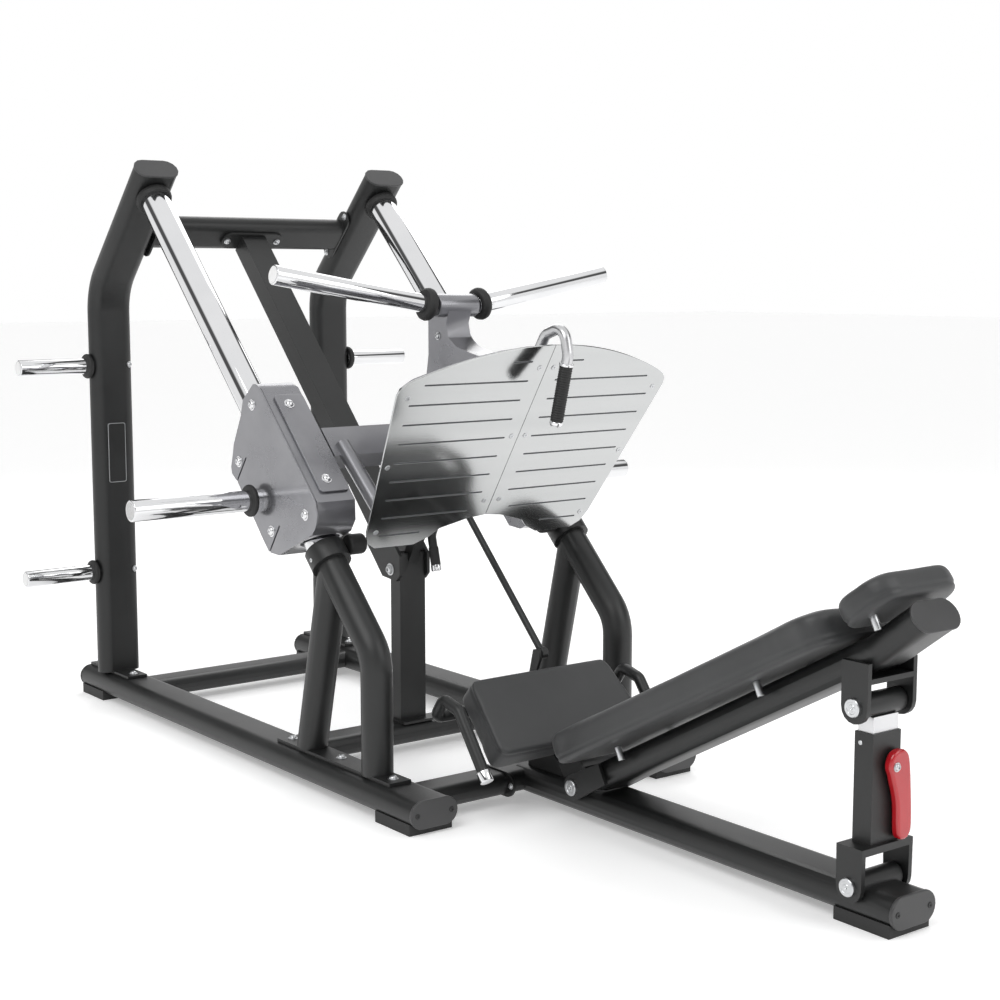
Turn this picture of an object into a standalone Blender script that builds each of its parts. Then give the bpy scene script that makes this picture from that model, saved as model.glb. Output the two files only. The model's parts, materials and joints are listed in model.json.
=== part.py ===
"""Plate-loaded 45 degree leg press: frame, weight carriage, safety release, seat and adjustable backrest.

Metres, +Z up. +X runs from the weight rack to the seat end, and the left side is at -Y. Places are given from
the middle of the base rails, and the "machine" empty then centres the whole box on the origin.
"""

import math

import bmesh
import bpy
from mathutils import Matrix, Vector

GAP = 0.0003  # between pieces that touch
BOX_SHIFT = 0.0236  # the machine's overall box has its middle this far in front of the base's middle
SIDES = (("left", -1), ("right", 1))

# Flat-oval frame tube, base rails and feet
TUBE_WIDE = 0.120
TUBE_DEEP = 0.060
CROSS_WIDE = 0.100
CROSS_DEEP = 0.050
ROUND_STEPS = 7
SIDE_Y = 0.355
BASE_Z = 0.046
RAIL_REAR = -1.338
RAIL_FRONT = 0.330
SEAT_BEAM_REAR = 0.224
SEAT_BEAM_FRONT = 1.330
CAP_THICK = 0.008
CAP_LIP = 0.003
FOOT_HIGH = 0.026
FOOT_WIDE = 0.112
FOOT_LONG = 0.134
FOOT_FRONT_X = 0.257
FOOT_REAR_X = -1.265
FOOT_SEAT_X = 1.262
CROSS_REAR_X = -1.092
CROSS_MIDDLE_X = -0.270
CROSS_FRONT_X = 0.224
CROSS_JOINT_Y = 0.095
BASE_TOP = BASE_Z + TUBE_DEEP / 2
BASE_PLATE_THICK = 0.008
BASE_PLATE_WIDE = 0.058

# Uprights, top cross tube, spine and centre post
UPRIGHT_X = -1.212
UPRIGHT_BEND_Z = 1.1505
UPRIGHT_END = (-0.9035, 1.4590)
UPRIGHT_BEND_RADIUS = 0.15
UPRIGHT_CAP_THICK = 0.006
TOP_TUBE = (-1.058, 1.305)
TOP_FLANGE_LONG = 0.165
TOP_FLANGE_THICK = 0.006
SPINE_TOP = (-1.045, 1.277)
SPINE_END = (-0.330, 0.523)
SPINE_WIDE = 0.074
SPINE_DEEP = 0.055
SPINE_FLANGE_WIDE = 0.190
POST_X = -0.2765
POST_DEEP = 0.041
POST_WIDE = 0.076
POST_TOP = 0.500
GUSSET_THICK = 0.008
GUSSET = (
    (-0.400, 0.520),
    (-0.323, 0.438),
    (-0.262, 0.432),
    (-0.246, 0.448),
    (-0.246, 0.497),
    (-0.262, 0.514),
    (-0.312, 0.566),
    (-0.345, 0.578),
)

# Guide rods at 45 degrees: "down" runs along a rod, "out" stands square to it
SLANT = math.sqrt(0.5)
ROD_RADIUS = 0.038
ROD_OUT = 0.330
ROD_TOP = -1.6402
ROD_END = -0.4673
COLLAR_RADIUS = 0.0475
COLLAR_END = -0.420
LEG_RADIUS = 0.0365
FRONT_LEG_X = 0.117
FRONT_LEG_BEND_RADIUS = 0.10
REAR_LEG_FOOT = (-0.1609, 0.0866)
REAR_LEG_TOP = (-0.056, 0.523)
AFRAME_PLATE = (-0.275, 0.208)
UPRIGHT_PLATE = (-1.333, -1.091)
BUMPER = (-0.078, 0.571)
BUMPER_RADIUS = 0.024
BUMPER_Y = (0.262, 0.307)
STORAGE_RADIUS = 0.022
STORAGE_END_Y = 0.621
STORAGE_HEIGHTS = (("upper", 0.940), ("lower", 0.366))

# Carriage
BOX_Y = (0.305, 0.405)
BOX_OUTLINE = (  # (down, out)
    (-0.885, 0.4356),
    (-0.892, 0.3727),
    (-0.873, 0.3373),
    (-0.849, 0.261),
    (-0.831, 0.231),
    (-0.806, 0.203),
    (-0.565, 0.203),
    (-0.530, 0.233),
    (-0.471, 0.386),
    (-0.477, 0.420),
    (-0.511, 0.4515),
    (-0.856, 0.4515),
)
BORE_RADIUS = 0.046
BEARING_SPAN = (-0.840, -0.515)
CARRIAGE_TUBE_DOWN = -0.679
CARRIAGE_TUBE_OUT = 0.4325
CARRIAGE_TUBE_WIDE = 0.085
CARRIAGE_TUBE_DEEP = 0.050
HORN_X = -0.302
HORN_Z = 0.6605
HORN_RADIUS = 0.025
HORN_END_Y = 0.738
HUB = (-0.075, 1.117)
HUB_RADIUS = 0.0275
HUB_HALF = 0.057
TOP_HORN_RADIUS = 0.0225
TOP_HORN_ROOT = (-0.0765, 0.064, 1.118)
TOP_HORN_TIP = (-0.097, 0.4785, 1.189)
MAST_HALF = 0.033
MAST_REAR_X = -0.135
SUPPORT_RADIUS = 0.019
SUPPORT_Y = 0.270

# Foot plate: "up" runs up the plate, "off" stands towards the user
PLATE_ORIGIN = Vector((0.0286, 0.0, 0.6017))
PLATE_UP = Vector((0.542, 0.0, 0.8404))
PLATE_OFF = Vector((0.8404, 0.0, -0.542))
SKIN_THICK = 0.004
BACKING_THICK = 0.008
SKIN_SPLIT = 0.0006
PLATE_APEX = 0.515
PLATE_ARC = 0.66  # the top edge falls by this times the square of the distance from the middle
HANDLE_RADIUS = 0.0125

# Release: cross shaft with side handles, link and catch
SHAFT = (0.210, 0.215)
SHAFT_RADIUS = 0.0135
HANDLE_Y = 0.262
LEVER_PIN = (0.200, 0.318)
CATCH_PIVOT = (-0.190, 0.618)
LEVER_Y = (0.033, 0.041)
LINK_Y = 0.0500
LINK_RADIUS = 0.008
EYE_RADIUS = 0.014
STUB_RADIUS = 0.011

# Seat, backrest and strut
SEAT_CENTRE = (0.302, 0.207)
SEAT_LONG = 0.204
SEAT_THICK = 0.072
SEAT_TILT = math.radians(43)
SEAT_HALF_HIGH = 0.200
SEAT_HALF_LOW = 0.220
BACK_PIVOT = (0.455, 0.078)
BACK_TILT = math.radians(28.2)
BEAM_START = 0.060
BEAM_BEND = (1.262, 0.516)
BEAM_END = (1.362, 0.591)
BACK_PAD_LOW = (0.427, 0.193)
BACK_PAD_TILT = math.radians(27.6)
BACK_PAD_LONG = 0.873
BACK_PAD_THICK = 0.070
BACK_PAD_HALF = 0.145
HEAD_CENTRE = (1.2804, 0.6153)
HEAD_TILT = math.radians(38)
HEAD_LONG = 0.140
HEAD_THICK = 0.058
HEAD_HALF = 0.130
EAR_Y = (0.0604, 0.0704)
EAR_RADIUS = 0.030
PIN_RADIUS = 0.010
PIN_BORE = 0.0105
PIN_HEAD_RADIUS = 0.0175
PIN_HEAD = 0.007
BUSH_RADIUS = 0.0225
BUSH_HALF = 0.055
STRUT_X = 1.243
STRUT_FOOT_Z = 0.078
STRUT_TOP_Z = 0.413
OUTER_SIZE = (0.044, 0.076)
OUTER_SPAN = (0.150, 0.362)
INNER_SIZE = (0.036, 0.068)
INNER_SPAN = (0.165, 0.393)
CLEVIS_HALF = 0.031
LEVER_PIVOT = (1.277, 0.004, 0.300)
LEVER_SPAN_X = (1.267, 1.287)
RED_LEVER = (
    (-0.012, 0.300),
    (-0.004, 0.322),
    (0.012, 0.330),
    (0.032, 0.326),
    (0.044, 0.300),
    (0.052, 0.195),
    (0.046, 0.165),
    (0.028, 0.158),
    (0.014, 0.172),
    (0.010, 0.230),
    (-0.004, 0.278),
)

BLACK = ("frame_black", (0.022, 0.023, 0.023), 0.0, 0.45)
SILVER = ("carriage_silver", (0.20, 0.20, 0.215), 0.7, 0.35)
CHROME = ("chrome", (0.80, 0.80, 0.81), 1.0, 0.08)
STAINLESS = ("stainless", (0.55, 0.56, 0.56), 1.0, 0.22)
RUBBER = ("rubber", (0.015, 0.015, 0.015), 0.0, 0.7)
PLASTIC = ("cap_plastic", (0.02, 0.02, 0.02), 0.0, 0.5)
VINYL = ("pad_vinyl", (0.03, 0.031, 0.031), 0.0, 0.5)
ZINC = ("zinc", (0.62, 0.63, 0.64), 1.0, 0.35)
RED = ("lever_red", (0.55, 0.01, 0.015), 0.0, 0.3)


def clear_scene():
    for obj in list(bpy.data.objects):
        bpy.data.objects.remove(obj)


def new_collection(name):
    made = bpy.data.collections.new(name)
    bpy.context.scene.collection.children.link(made)
    return made


def new_empty(name, place, parent):
    empty = bpy.data.objects.new(name, None)
    empty.empty_display_size = 0.05
    empty.location = place
    empty.parent = parent
    PARTS.objects.link(empty)
    return empty


def material(paint):
    name, colour, metallic, roughness = paint
    found = bpy.data.materials.get(name)
    if found:
        return found
    made = bpy.data.materials.new(name)
    made.use_nodes = True
    shader = made.node_tree.nodes["Principled BSDF"]
    shader.inputs["Base Color"].default_value = (*colour, 1)
    shader.inputs["Metallic"].default_value = metallic
    shader.inputs["Roughness"].default_value = roughness
    return made


def finish(name, mesh, matrix, paint, joint=None):
    """An object for a mesh, held by the joint's empty and placed by its matrix in the machine's frame."""
    obj = bpy.data.objects.new(name, mesh)
    mesh.materials.clear()
    mesh.materials.append(material(paint))
    holder = joint or MACHINE
    obj.parent = holder
    if joint:
        obj.matrix_parent_inverse = Matrix.Translation(-joint.location)
    obj.matrix_basis = matrix
    PARTS.objects.link(obj)
    for polygon in mesh.polygons:
        polygon.use_smooth = True
    mesh.set_sharp_from_angle(angle=math.radians(35))
    return obj


def mesh_of(curve, name):
    """The curve's solid as a mesh, with its caps welded on and its faces turned out."""
    holder = bpy.data.objects.new(name, curve)
    bpy.context.scene.collection.objects.link(holder)
    bpy.context.view_layer.update()
    graph = bpy.context.evaluated_depsgraph_get()
    mesh = bpy.data.meshes.new_from_object(holder.evaluated_get(graph))
    bpy.data.objects.remove(holder)
    shape = bmesh.new()
    shape.from_mesh(mesh)
    bmesh.ops.remove_doubles(shape, verts=shape.verts, dist=0.00001)
    bmesh.ops.recalc_face_normals(shape, faces=shape.faces)
    shape.to_mesh(mesh)
    shape.free()
    mesh.name = name
    return mesh


def flat_curve(name, points, cyclic=True):
    curve = bpy.data.curves.new(name, "CURVE")
    curve.dimensions = "2D"
    curve.fill_mode = "BOTH" if cyclic else "NONE"
    spline = curve.splines.new("POLY")
    spline.points.add(len(points) - 1)
    for target, point in zip(spline.points, points):
        target.co = (point[0], point[1], 0, 1)
    spline.use_cyclic_u = cyclic
    return curve


def obround(wide, deep):
    """Outline of a flat-oval tube: wide along x, deep along y."""
    radius = deep / 2
    points = []
    for side in (1, -1):
        for step in range(ROUND_STEPS + 1):
            angle = -math.pi / 2 + math.pi * step / ROUND_STEPS
            points.append((side * (wide / 2 - radius + radius * math.cos(angle)), side * radius * math.sin(angle)))
    return points


def axes(x_axis, y_axis, z_axis, place):
    """A placement with these unit axes."""
    matrix = Matrix((x_axis, y_axis, z_axis)).transposed().to_4x4()
    matrix.translation = place
    return matrix


def upright_matrix(place):
    """Stands a flat outline up in a plane of constant y, with its x along X and its y along Z."""
    return axes((1, 0, 0), (0, 0, 1), (0, -1, 0), place)


def bar(name, outline, start, end, wide_axis, paint, joint=None):
    """A straight bar of that section from start to end, its outline's x along wide_axis."""
    start, end = Vector(start), Vector(end)
    along = (end - start).normalized()
    wide = Vector(wide_axis)
    curve = flat_curve(name, outline)
    curve.extrude = (end - start).length / 2
    return finish(name, mesh_of(curve, name), axes(wide, along.cross(wide), along, (start + end) / 2), paint, joint)


def plate(name, outline, y_span, paint, joint=None):
    """An outline in (x, z), extruded between two values of y."""
    curve = flat_curve(name, outline)
    curve.extrude = abs(y_span[1] - y_span[0]) / 2
    return finish(name, mesh_of(curve, name), upright_matrix((0, sum(y_span) / 2, 0)), paint, joint)


def box(name, low, high, paint, joint=None, matrix=None):
    shape = bmesh.new()
    bmesh.ops.create_cube(shape, size=1)
    low, high = Vector(low), Vector(high)
    for vertex in shape.verts:
        vertex.co = (low + high) / 2 + Vector(c * s for c, s in zip(vertex.co, high - low))
    mesh = bpy.data.meshes.new(name)
    shape.to_mesh(mesh)
    shape.free()
    return finish(name, mesh, matrix or Matrix.Identity(4), paint, joint)


def rod(name, radius, start, end, paint, joint=None, sides=32):
    start, end = Vector(start), Vector(end)
    along = end - start
    shape = bmesh.new()
    bmesh.ops.create_cone(
        shape, cap_ends=True, segments=sides, radius1=radius, radius2=radius, depth=along.length
    )
    mesh = bpy.data.meshes.new(name)
    shape.to_mesh(mesh)
    shape.free()
    matrix = along.to_track_quat("Z", "Y").to_matrix().to_4x4()
    matrix.translation = (start + end) / 2
    return finish(name, mesh, matrix, paint, joint)


def sleeve(name, inner, outer, start, end, paint, joint=None, sides=24):
    """A bush from start to end: a flat ring outline, turned round the line by a Screw."""
    start, end = Vector(start), Vector(end)
    half = (end - start).length / 2
    corners = ((outer, half), (outer, -half), (inner, -half), (inner, half))
    mesh = bpy.data.meshes.new(name)
    mesh.from_pydata([(r, 0, z) for r, z in corners], [(i, (i + 1) % 4) for i in range(4)], [])
    matrix = (end - start).to_track_quat("Z", "Y").to_matrix().to_4x4()
    matrix.translation = (start + end) / 2
    obj = finish(name, mesh, matrix, paint, joint)
    turn = obj.modifiers.new("turn", "SCREW")
    turn.steps = turn.render_steps = sides
    turn.use_merge_vertices = True
    turn.merge_threshold = 0.00005
    turn.use_smooth_shade = True
    return obj


def headed_pin(name, place, half_grip, paint, joint=None):
    """A pin along Y with a round head at each end, turned by a Screw."""
    end = half_grip + PIN_HEAD
    profile = (
        (0, end),
        (PIN_HEAD_RADIUS, end),
        (PIN_HEAD_RADIUS, half_grip),
        (PIN_RADIUS, half_grip),
        (PIN_RADIUS, -half_grip),
        (PIN_HEAD_RADIUS, -half_grip),
        (PIN_HEAD_RADIUS, -end),
        (0, -end),
    )
    mesh = bpy.data.meshes.new(name)
    mesh.from_pydata([(r, 0, z) for r, z in profile], [(i, i + 1) for i in range(len(profile) - 1)], [])
    obj = finish(name, mesh, axes((1, 0, 0), (0, 0, -1), (0, 1, 0), place), paint, joint)
    turn = obj.modifiers.new("turn", "SCREW")
    turn.steps = turn.render_steps = 20
    turn.use_merge_vertices = True
    turn.merge_threshold = 0.00005
    turn.use_smooth_shade = True
    return obj


def rounded_path(points, radius, steps):
    """The points as vectors, with each inner corner replaced by an arc of that radius."""
    points = [Vector(p) for p in points]
    path = [points[0]]
    for before, corner, after in zip(points, points[1:], points[2:]):
        back, ahead = (before - corner).normalized(), (after - corner).normalized()
        half = back.angle(ahead) / 2
        centre = corner + (back + ahead).normalized() * radius / math.sin(half)
        first = corner + back * radius / math.tan(half) - centre
        last = corner + ahead * radius / math.tan(half) - centre
        turn = first.rotation_difference(last)
        for step in range(steps + 1):
            path.append(centre + Matrix.Rotation(turn.angle * step / steps, 3, turn.axis) @ first)
    path.append(points[-1])
    return path


def bent_tube(name, path, radius, paint, joint=None, resolution=4):
    curve = bpy.data.curves.new(name, "CURVE")
    curve.dimensions = "3D"
    curve.bevel_depth = radius
    curve.bevel_resolution = resolution
    curve.use_fill_caps = True
    spline = curve.splines.new("POLY")
    spline.points.add(len(path) - 1)
    for target, point in zip(spline.points, path):
        target.co = (*point, 1)
    return finish(name, mesh_of(curve, name), Matrix.Identity(4), paint, joint)


def bent_flat_tube(name, path, y, paint, joint=None):
    """A flat-oval tube, wide along Y, that follows a path of (x, z) points."""
    points = [(deep, wide) for wide, deep in obround(TUBE_WIDE, TUBE_DEEP)]
    section = bpy.data.objects.new(name + "_section", flat_curve(name + "_section", points))
    CUTTERS.objects.link(section)
    curve = flat_curve(name, path, cyclic=False)
    curve.bevel_mode = "OBJECT"
    curve.bevel_object = section
    curve.use_fill_caps = True
    mesh = mesh_of(curve, name)
    bpy.data.objects.remove(section)
    return finish(name, mesh, upright_matrix((0, y, 0)), paint, joint)


def combine(target, others, operation):
    for other in others:
        for collection in list(other.users_collection):
            collection.objects.unlink(other)
        if other.name not in CUTTERS.objects:
            CUTTERS.objects.link(other)
        other.hide_render = True
        other.display_type = "WIRE"
        step = target.modifiers.new(other.name, "BOOLEAN")
        step.operation = operation
        step.solver = "EXACT"
        step.object = other
    return target


def weld(target, *others):
    return combine(target, others, "UNION")


def cut(target, *others):
    return combine(target, others, "DIFFERENCE")


def slanted(down, out, y=0.0):
    """The point that lies so far down the guide rods' direction and so far out from it."""
    return Vector(((down + out) * SLANT, y, (out - down) * SLANT))


def on_plate(up, off, y=0.0):
    return PLATE_ORIGIN + PLATE_UP * up + PLATE_OFF * off + Vector((0, y, 0))


def xz(point):
    return (point[0], point[-1])


def tube_cutter(name, start_x, end_x, y):
    wide, deep = TUBE_WIDE + 2 * GAP, TUBE_DEEP + 2 * GAP
    return bar(name, obround(wide, deep), (start_x, y, BASE_Z), (end_x, y, BASE_Z), (0, 1, 0), BLACK)


def build_base():
    tube, cap = obround(TUBE_WIDE, TUBE_DEEP), obround(TUBE_WIDE + CAP_LIP, TUBE_DEEP + CAP_LIP)
    rail_cutters = []
    section = obround(CROSS_WIDE + 2 * GAP, CROSS_DEEP + 2 * GAP)
    ends = ((CROSS_FRONT_X, -SIDE_Y, BASE_Z), (CROSS_FRONT_X, SIDE_Y, BASE_Z))
    cross_cutter = bar("front_cross_cutter", section, *ends, (1, 0, 0), BLACK)
    for side, sign in SIDES:
        y = sign * SIDE_Y
        bar(f"rail_{side}", tube, (RAIL_REAR, y, BASE_Z), (RAIL_FRONT, y, BASE_Z), (0, 1, 0), BLACK)
        start = RAIL_FRONT + GAP
        bar(f"rail_cap_{side}", cap, (start, y, BASE_Z), (start + CAP_THICK, y, BASE_Z), (0, 1, 0), PLASTIC)
        cutter = tube_cutter(f"rail_cutter_{side}", RAIL_REAR - 0.02, RAIL_FRONT + 0.02, y)
        rail_cutters.append(cutter)
        cut(foot(f"foot_front_{side}", FOOT_FRONT_X, y), cutter, cross_cutter)
        cut(foot(f"foot_rear_{side}", FOOT_REAR_X, y), cutter)
    start = SEAT_BEAM_FRONT + GAP
    bar("seat_beam_cap", cap, (start, 0, BASE_Z), (start + CAP_THICK, 0, BASE_Z), (0, 1, 0), PLASTIC)
    cut(foot("foot_seat_beam", FOOT_SEAT_X, 0), tube_cutter("seat_beam_cutter", 1.1, 1.4, 0))
    build_cross_tubes(rail_cutters)
    return rail_cutters


def foot(name, x, y):
    half = Vector((FOOT_LONG / 2, FOOT_WIDE / 2, 0))
    centre = Vector((x, y, 0))
    return box(name, centre - half, centre + half + Vector((0, 0, FOOT_HIGH)), RUBBER)


def build_cross_tubes(rail_cutters):
    section = obround(CROSS_WIDE, CROSS_DEEP)
    reach = SIDE_Y - 0.03
    for name, x in (("cross_tube_rear", CROSS_REAR_X), ("cross_tube_middle", CROSS_MIDDLE_X)):
        cut(bar(name, section, (x, -reach, BASE_Z), (x, reach, BASE_Z), (1, 0, 0), BLACK), *rail_cutters)
    for (side, sign), cutter in zip(SIDES, rail_cutters):
        ends = sorted((sign * (CROSS_JOINT_Y + GAP), sign * reach))
        x = CROSS_FRONT_X
        made = bar(f"cross_tube_front_{side}", section, (x, ends[0], BASE_Z), (x, ends[1], BASE_Z), (1, 0, 0), BLACK)
        cut(made, cutter)


def build_seat_beam():
    section = obround(TUBE_WIDE, TUBE_DEEP)
    beam = bar("seat_beam", section, (SEAT_BEAM_REAR, 0, BASE_Z), (SEAT_BEAM_FRONT, 0, BASE_Z), (0, 1, 0), BLACK)
    x, y = CROSS_FRONT_X, CROSS_JOINT_Y
    stub = bar("beam_stub", obround(CROSS_WIDE, CROSS_DEEP), (x, -y, BASE_Z), (x, y, BASE_Z), (1, 0, 0), BLACK)
    bushes, bores = [], []
    for name, (x, z) in (("back", BACK_PIVOT), ("strut", (STRUT_X, STRUT_FOOT_Z))):
        bushes.append(rod(f"{name}_bush", BUSH_RADIUS, (x, -BUSH_HALF, z), (x, BUSH_HALF, z), BLACK, sides=24))
        bores.append(rod(f"{name}_bore", PIN_BORE, (x, -0.1, z), (x, 0.1, z), BLACK, sides=24))
    weld(beam, stub, *bushes)
    cut(beam, *bores)
    return bores


def build_uprights():
    for side, sign in SIDES:
        y = sign * SIDE_Y
        path = rounded_path(
            ((UPRIGHT_X, BASE_TOP + 0.004, 0), (UPRIGHT_X, UPRIGHT_BEND_Z, 0), (*UPRIGHT_END, 0)),
            UPRIGHT_BEND_RADIUS,
            8,
        )
        upright = bent_flat_tube(f"upright_{side}", path, y, BLACK)
        weld(upright, base_plate(f"upright_plate_{side}", UPRIGHT_PLATE, y))
        cap = obround(TUBE_WIDE + CAP_LIP, TUBE_DEEP + CAP_LIP)
        ahead = Vector((SLANT, 0, SLANT))
        start = Vector((UPRIGHT_END[0], y, UPRIGHT_END[1])) + ahead * GAP
        bar(f"upright_cap_{side}", cap, start, start + ahead * UPRIGHT_CAP_THICK, (0, 1, 0), PLASTIC)
        for level, z in STORAGE_HEIGHTS:
            root = sign * (SIDE_Y + TUBE_WIDE / 2 + GAP)
            tip = sign * STORAGE_END_Y
            name = f"storage_horn_{level}_{side}"
            rod(name, STORAGE_RADIUS, (UPRIGHT_X, root, z), (UPRIGHT_X, tip, z), CHROME)


def base_plate(name, x_span, y):
    low = (x_span[0], y - BASE_PLATE_WIDE / 2, BASE_TOP + GAP)
    high = (x_span[1], y + BASE_PLATE_WIDE / 2, BASE_TOP + GAP + BASE_PLATE_THICK)
    return box(name, low, high, BLACK)


def build_top_tube():
    x, z = TOP_TUBE
    end = SIDE_Y - TUBE_WIDE / 2 - GAP
    wide = Vector((SLANT, 0, SLANT))
    tube = bar("top_cross_tube", obround(CROSS_WIDE, CROSS_DEEP), (x, -end, z), (x, end, z), wide, BLACK)
    for side, sign in SIDES:
        inner, outer = sorted((sign * (end - TOP_FLANGE_THICK), sign * end))
        outline = obround(TOP_FLANGE_LONG, CROSS_DEEP + 0.004)
        weld(tube, bar(f"top_flange_{side}", outline, (x, inner, z), (x, outer, z), wide, BLACK))


def build_spine():
    start, end = Vector((SPINE_TOP[0], 0, SPINE_TOP[1])), Vector((SPINE_END[0], 0, SPINE_END[1]))
    half, deep = SPINE_WIDE / 2, SPINE_DEEP / 2
    outline = ((-half, -deep), (half, -deep), (half, deep), (-half, deep))
    spine = bar("spine_beam", outline, start, end, (0, 1, 0), BLACK)
    away = Vector((SLANT, 0, -SLANT))
    face = Vector((TOP_TUBE[0], 0, TOP_TUBE[1])) + away * (CROSS_DEEP / 2 + GAP)
    section = obround(SPINE_FLANGE_WIDE, SPINE_DEEP)
    weld(spine, bar("spine_flange", section, face, face + away * BASE_PLATE_THICK, (0, 1, 0), BLACK))


def build_post():
    half = POST_WIDE / 2
    foot_z = BASE_Z + CROSS_DEEP / 2 + GAP
    low = (POST_X - POST_DEEP / 2, -half, foot_z)
    post = box("centre_post", low, (POST_X + POST_DEEP / 2, half, POST_TOP), BLACK)
    weld(post, box("post_foot", (POST_X - 0.045, -0.045, foot_z), (POST_X + 0.045, 0.045, foot_z + 0.006), BLACK))
    for side, sign in SIDES:
        inner, outer = sorted((sign * (half - 0.0005), sign * (half + GUSSET_THICK)))
        weld(post, plate(f"gusset_{side}", GUSSET, (inner, outer), BLACK))
    x, z = CATCH_PIVOT
    arm = ((-0.292, 0.470), (-0.262, 0.470), (x + 0.016, z - 0.008), (x - 0.012, z + 0.012))
    boss = rod("catch_boss", 0.018, (x, -0.020, z), (x, LEVER_Y[0] - 0.0005, z), BLACK, sides=20)
    weld(post, plate("catch_arm", arm, (-0.012, 0.012), BLACK), boss)


def build_rods_and_aframes():
    for side, sign in SIDES:
        y = sign * SIDE_Y
        rod(f"guide_rod_{side}", ROD_RADIUS, slanted(ROD_TOP, ROD_OUT, y), slanted(ROD_END, ROD_OUT, y), CHROME, sides=40)
        collar_top = slanted(ROD_END + GAP, ROD_OUT, y)
        collar = rod(f"aframe_{side}", COLLAR_RADIUS, collar_top, slanted(COLLAR_END, ROD_OUT, y), BLACK, sides=36)
        leg_top = slanted(COLLAR_END - 0.012, ROD_OUT, y)
        bend_z = 2 * ROD_OUT * SLANT - FRONT_LEG_X
        path = rounded_path(
            (leg_top, (FRONT_LEG_X, y, bend_z), (FRONT_LEG_X, y, BASE_TOP + 0.005)), FRONT_LEG_BEND_RADIUS, 5
        )
        front = bent_tube(f"front_leg_{side}", path, LEG_RADIUS, BLACK, resolution=5)
        foot_point, top_point = REAR_LEG_FOOT, REAR_LEG_TOP
        rear = rod(
            f"rear_leg_{side}",
            LEG_RADIUS,
            (foot_point[0], y, foot_point[1]),
            (top_point[0], y, top_point[1]),
            BLACK,
            sides=24,
        )
        trim = rod(f"leg_trim_{side}", 0.06, slanted(ROD_END - 0.08, ROD_OUT, y), collar_top, BLACK)
        weld(collar, front, rear, base_plate(f"aframe_plate_{side}", AFRAME_PLATE, y))
        cut(collar, trim)
        x, z = BUMPER
        inner, outer = (sign * v for v in BUMPER_Y)
        rod(f"bumper_{side}", BUMPER_RADIUS, (x, inner, z), (x, outer, z), RUBBER, sides=24)


def build_carriage_boxes(joint):
    outline = [xz(slanted(down, out)) for down, out in BOX_OUTLINE]
    for side, sign in SIDES:
        y = sign * SIDE_Y
        housing = plate(f"carriage_box_{side}", outline, sorted(sign * v for v in BOX_Y), SILVER, joint)
        start, end = slanted(-0.95, ROD_OUT, y), slanted(-0.40, ROD_OUT, y)
        cut(housing, rod(f"rod_bore_{side}", BORE_RADIUS, start, end, SILVER, joint, sides=36))
        start, end = (slanted(down, ROD_OUT, y) for down in BEARING_SPAN)
        sleeve(f"bearing_{side}", ROD_RADIUS + GAP, BORE_RADIUS - 0.0006, start, end, ZINC, joint, sides=36)
        root, tip = sign * (BOX_Y[1] + GAP), sign * HORN_END_Y
        rod(f"carriage_horn_{side}", HORN_RADIUS, (HORN_X, root, HORN_Z), (HORN_X, tip, HORN_Z), CHROME, joint)
        root, tip = Vector(TOP_HORN_ROOT), Vector(TOP_HORN_TIP)
        root.y *= sign
        tip.y *= sign
        rod(f"top_horn_{side}", TOP_HORN_RADIUS, root, tip, CHROME, joint)


def plate_half(inset):
    """Half of the foot plate's outline as (y, up), from the top middle round to the bottom middle."""
    points = []
    for step in range(6):
        y = SKIN_SPLIT + 0.345 * step / 5
        points.append((y, PLATE_APEX - PLATE_ARC * y * y - inset))
    edge = 0.380 - inset
    points += [(0.366 - inset, 0.424 - inset), (edge - 0.003, 0.412 - inset), (edge, 0.395 - inset)]
    points += [(edge - 0.0551, 0.012), (edge - 0.067, -0.018), (edge - 0.092, -0.036 + inset)]
    points += [(0.180, -0.037 + inset), (0.142, -0.017 + inset), (0.121, 0.005 + inset)]
    points += [(0.048, 0.028 + inset), (SKIN_SPLIT, 0.034 + inset)]
    return points


def plate_matrix(off):
    matrix = axes((0, 1, 0), PLATE_UP, -PLATE_OFF, on_plate(0, off))
    return matrix


def build_foot_plate(joint):
    for side, sign in SIDES:
        points = [(sign * y, up) for y, up in plate_half(0)]
        curve = flat_curve(f"foot_skin_{side}", points)
        curve.extrude = SKIN_THICK / 2
        name = f"foot_skin_{side}"
        finish(name, mesh_of(curve, name), plate_matrix(-SKIN_THICK / 2), STAINLESS, joint)
    path = [on_plate(0.4335, -0.045), on_plate(0.515, -0.043), on_plate(0.566, 0.0), on_plate(0.520, 0.046)]
    path.append(on_plate(0.365, 0.096))
    bent_tube("plate_handle", rounded_path(path, 0.030, 5), HANDLE_RADIUS, CHROME, joint)


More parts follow.
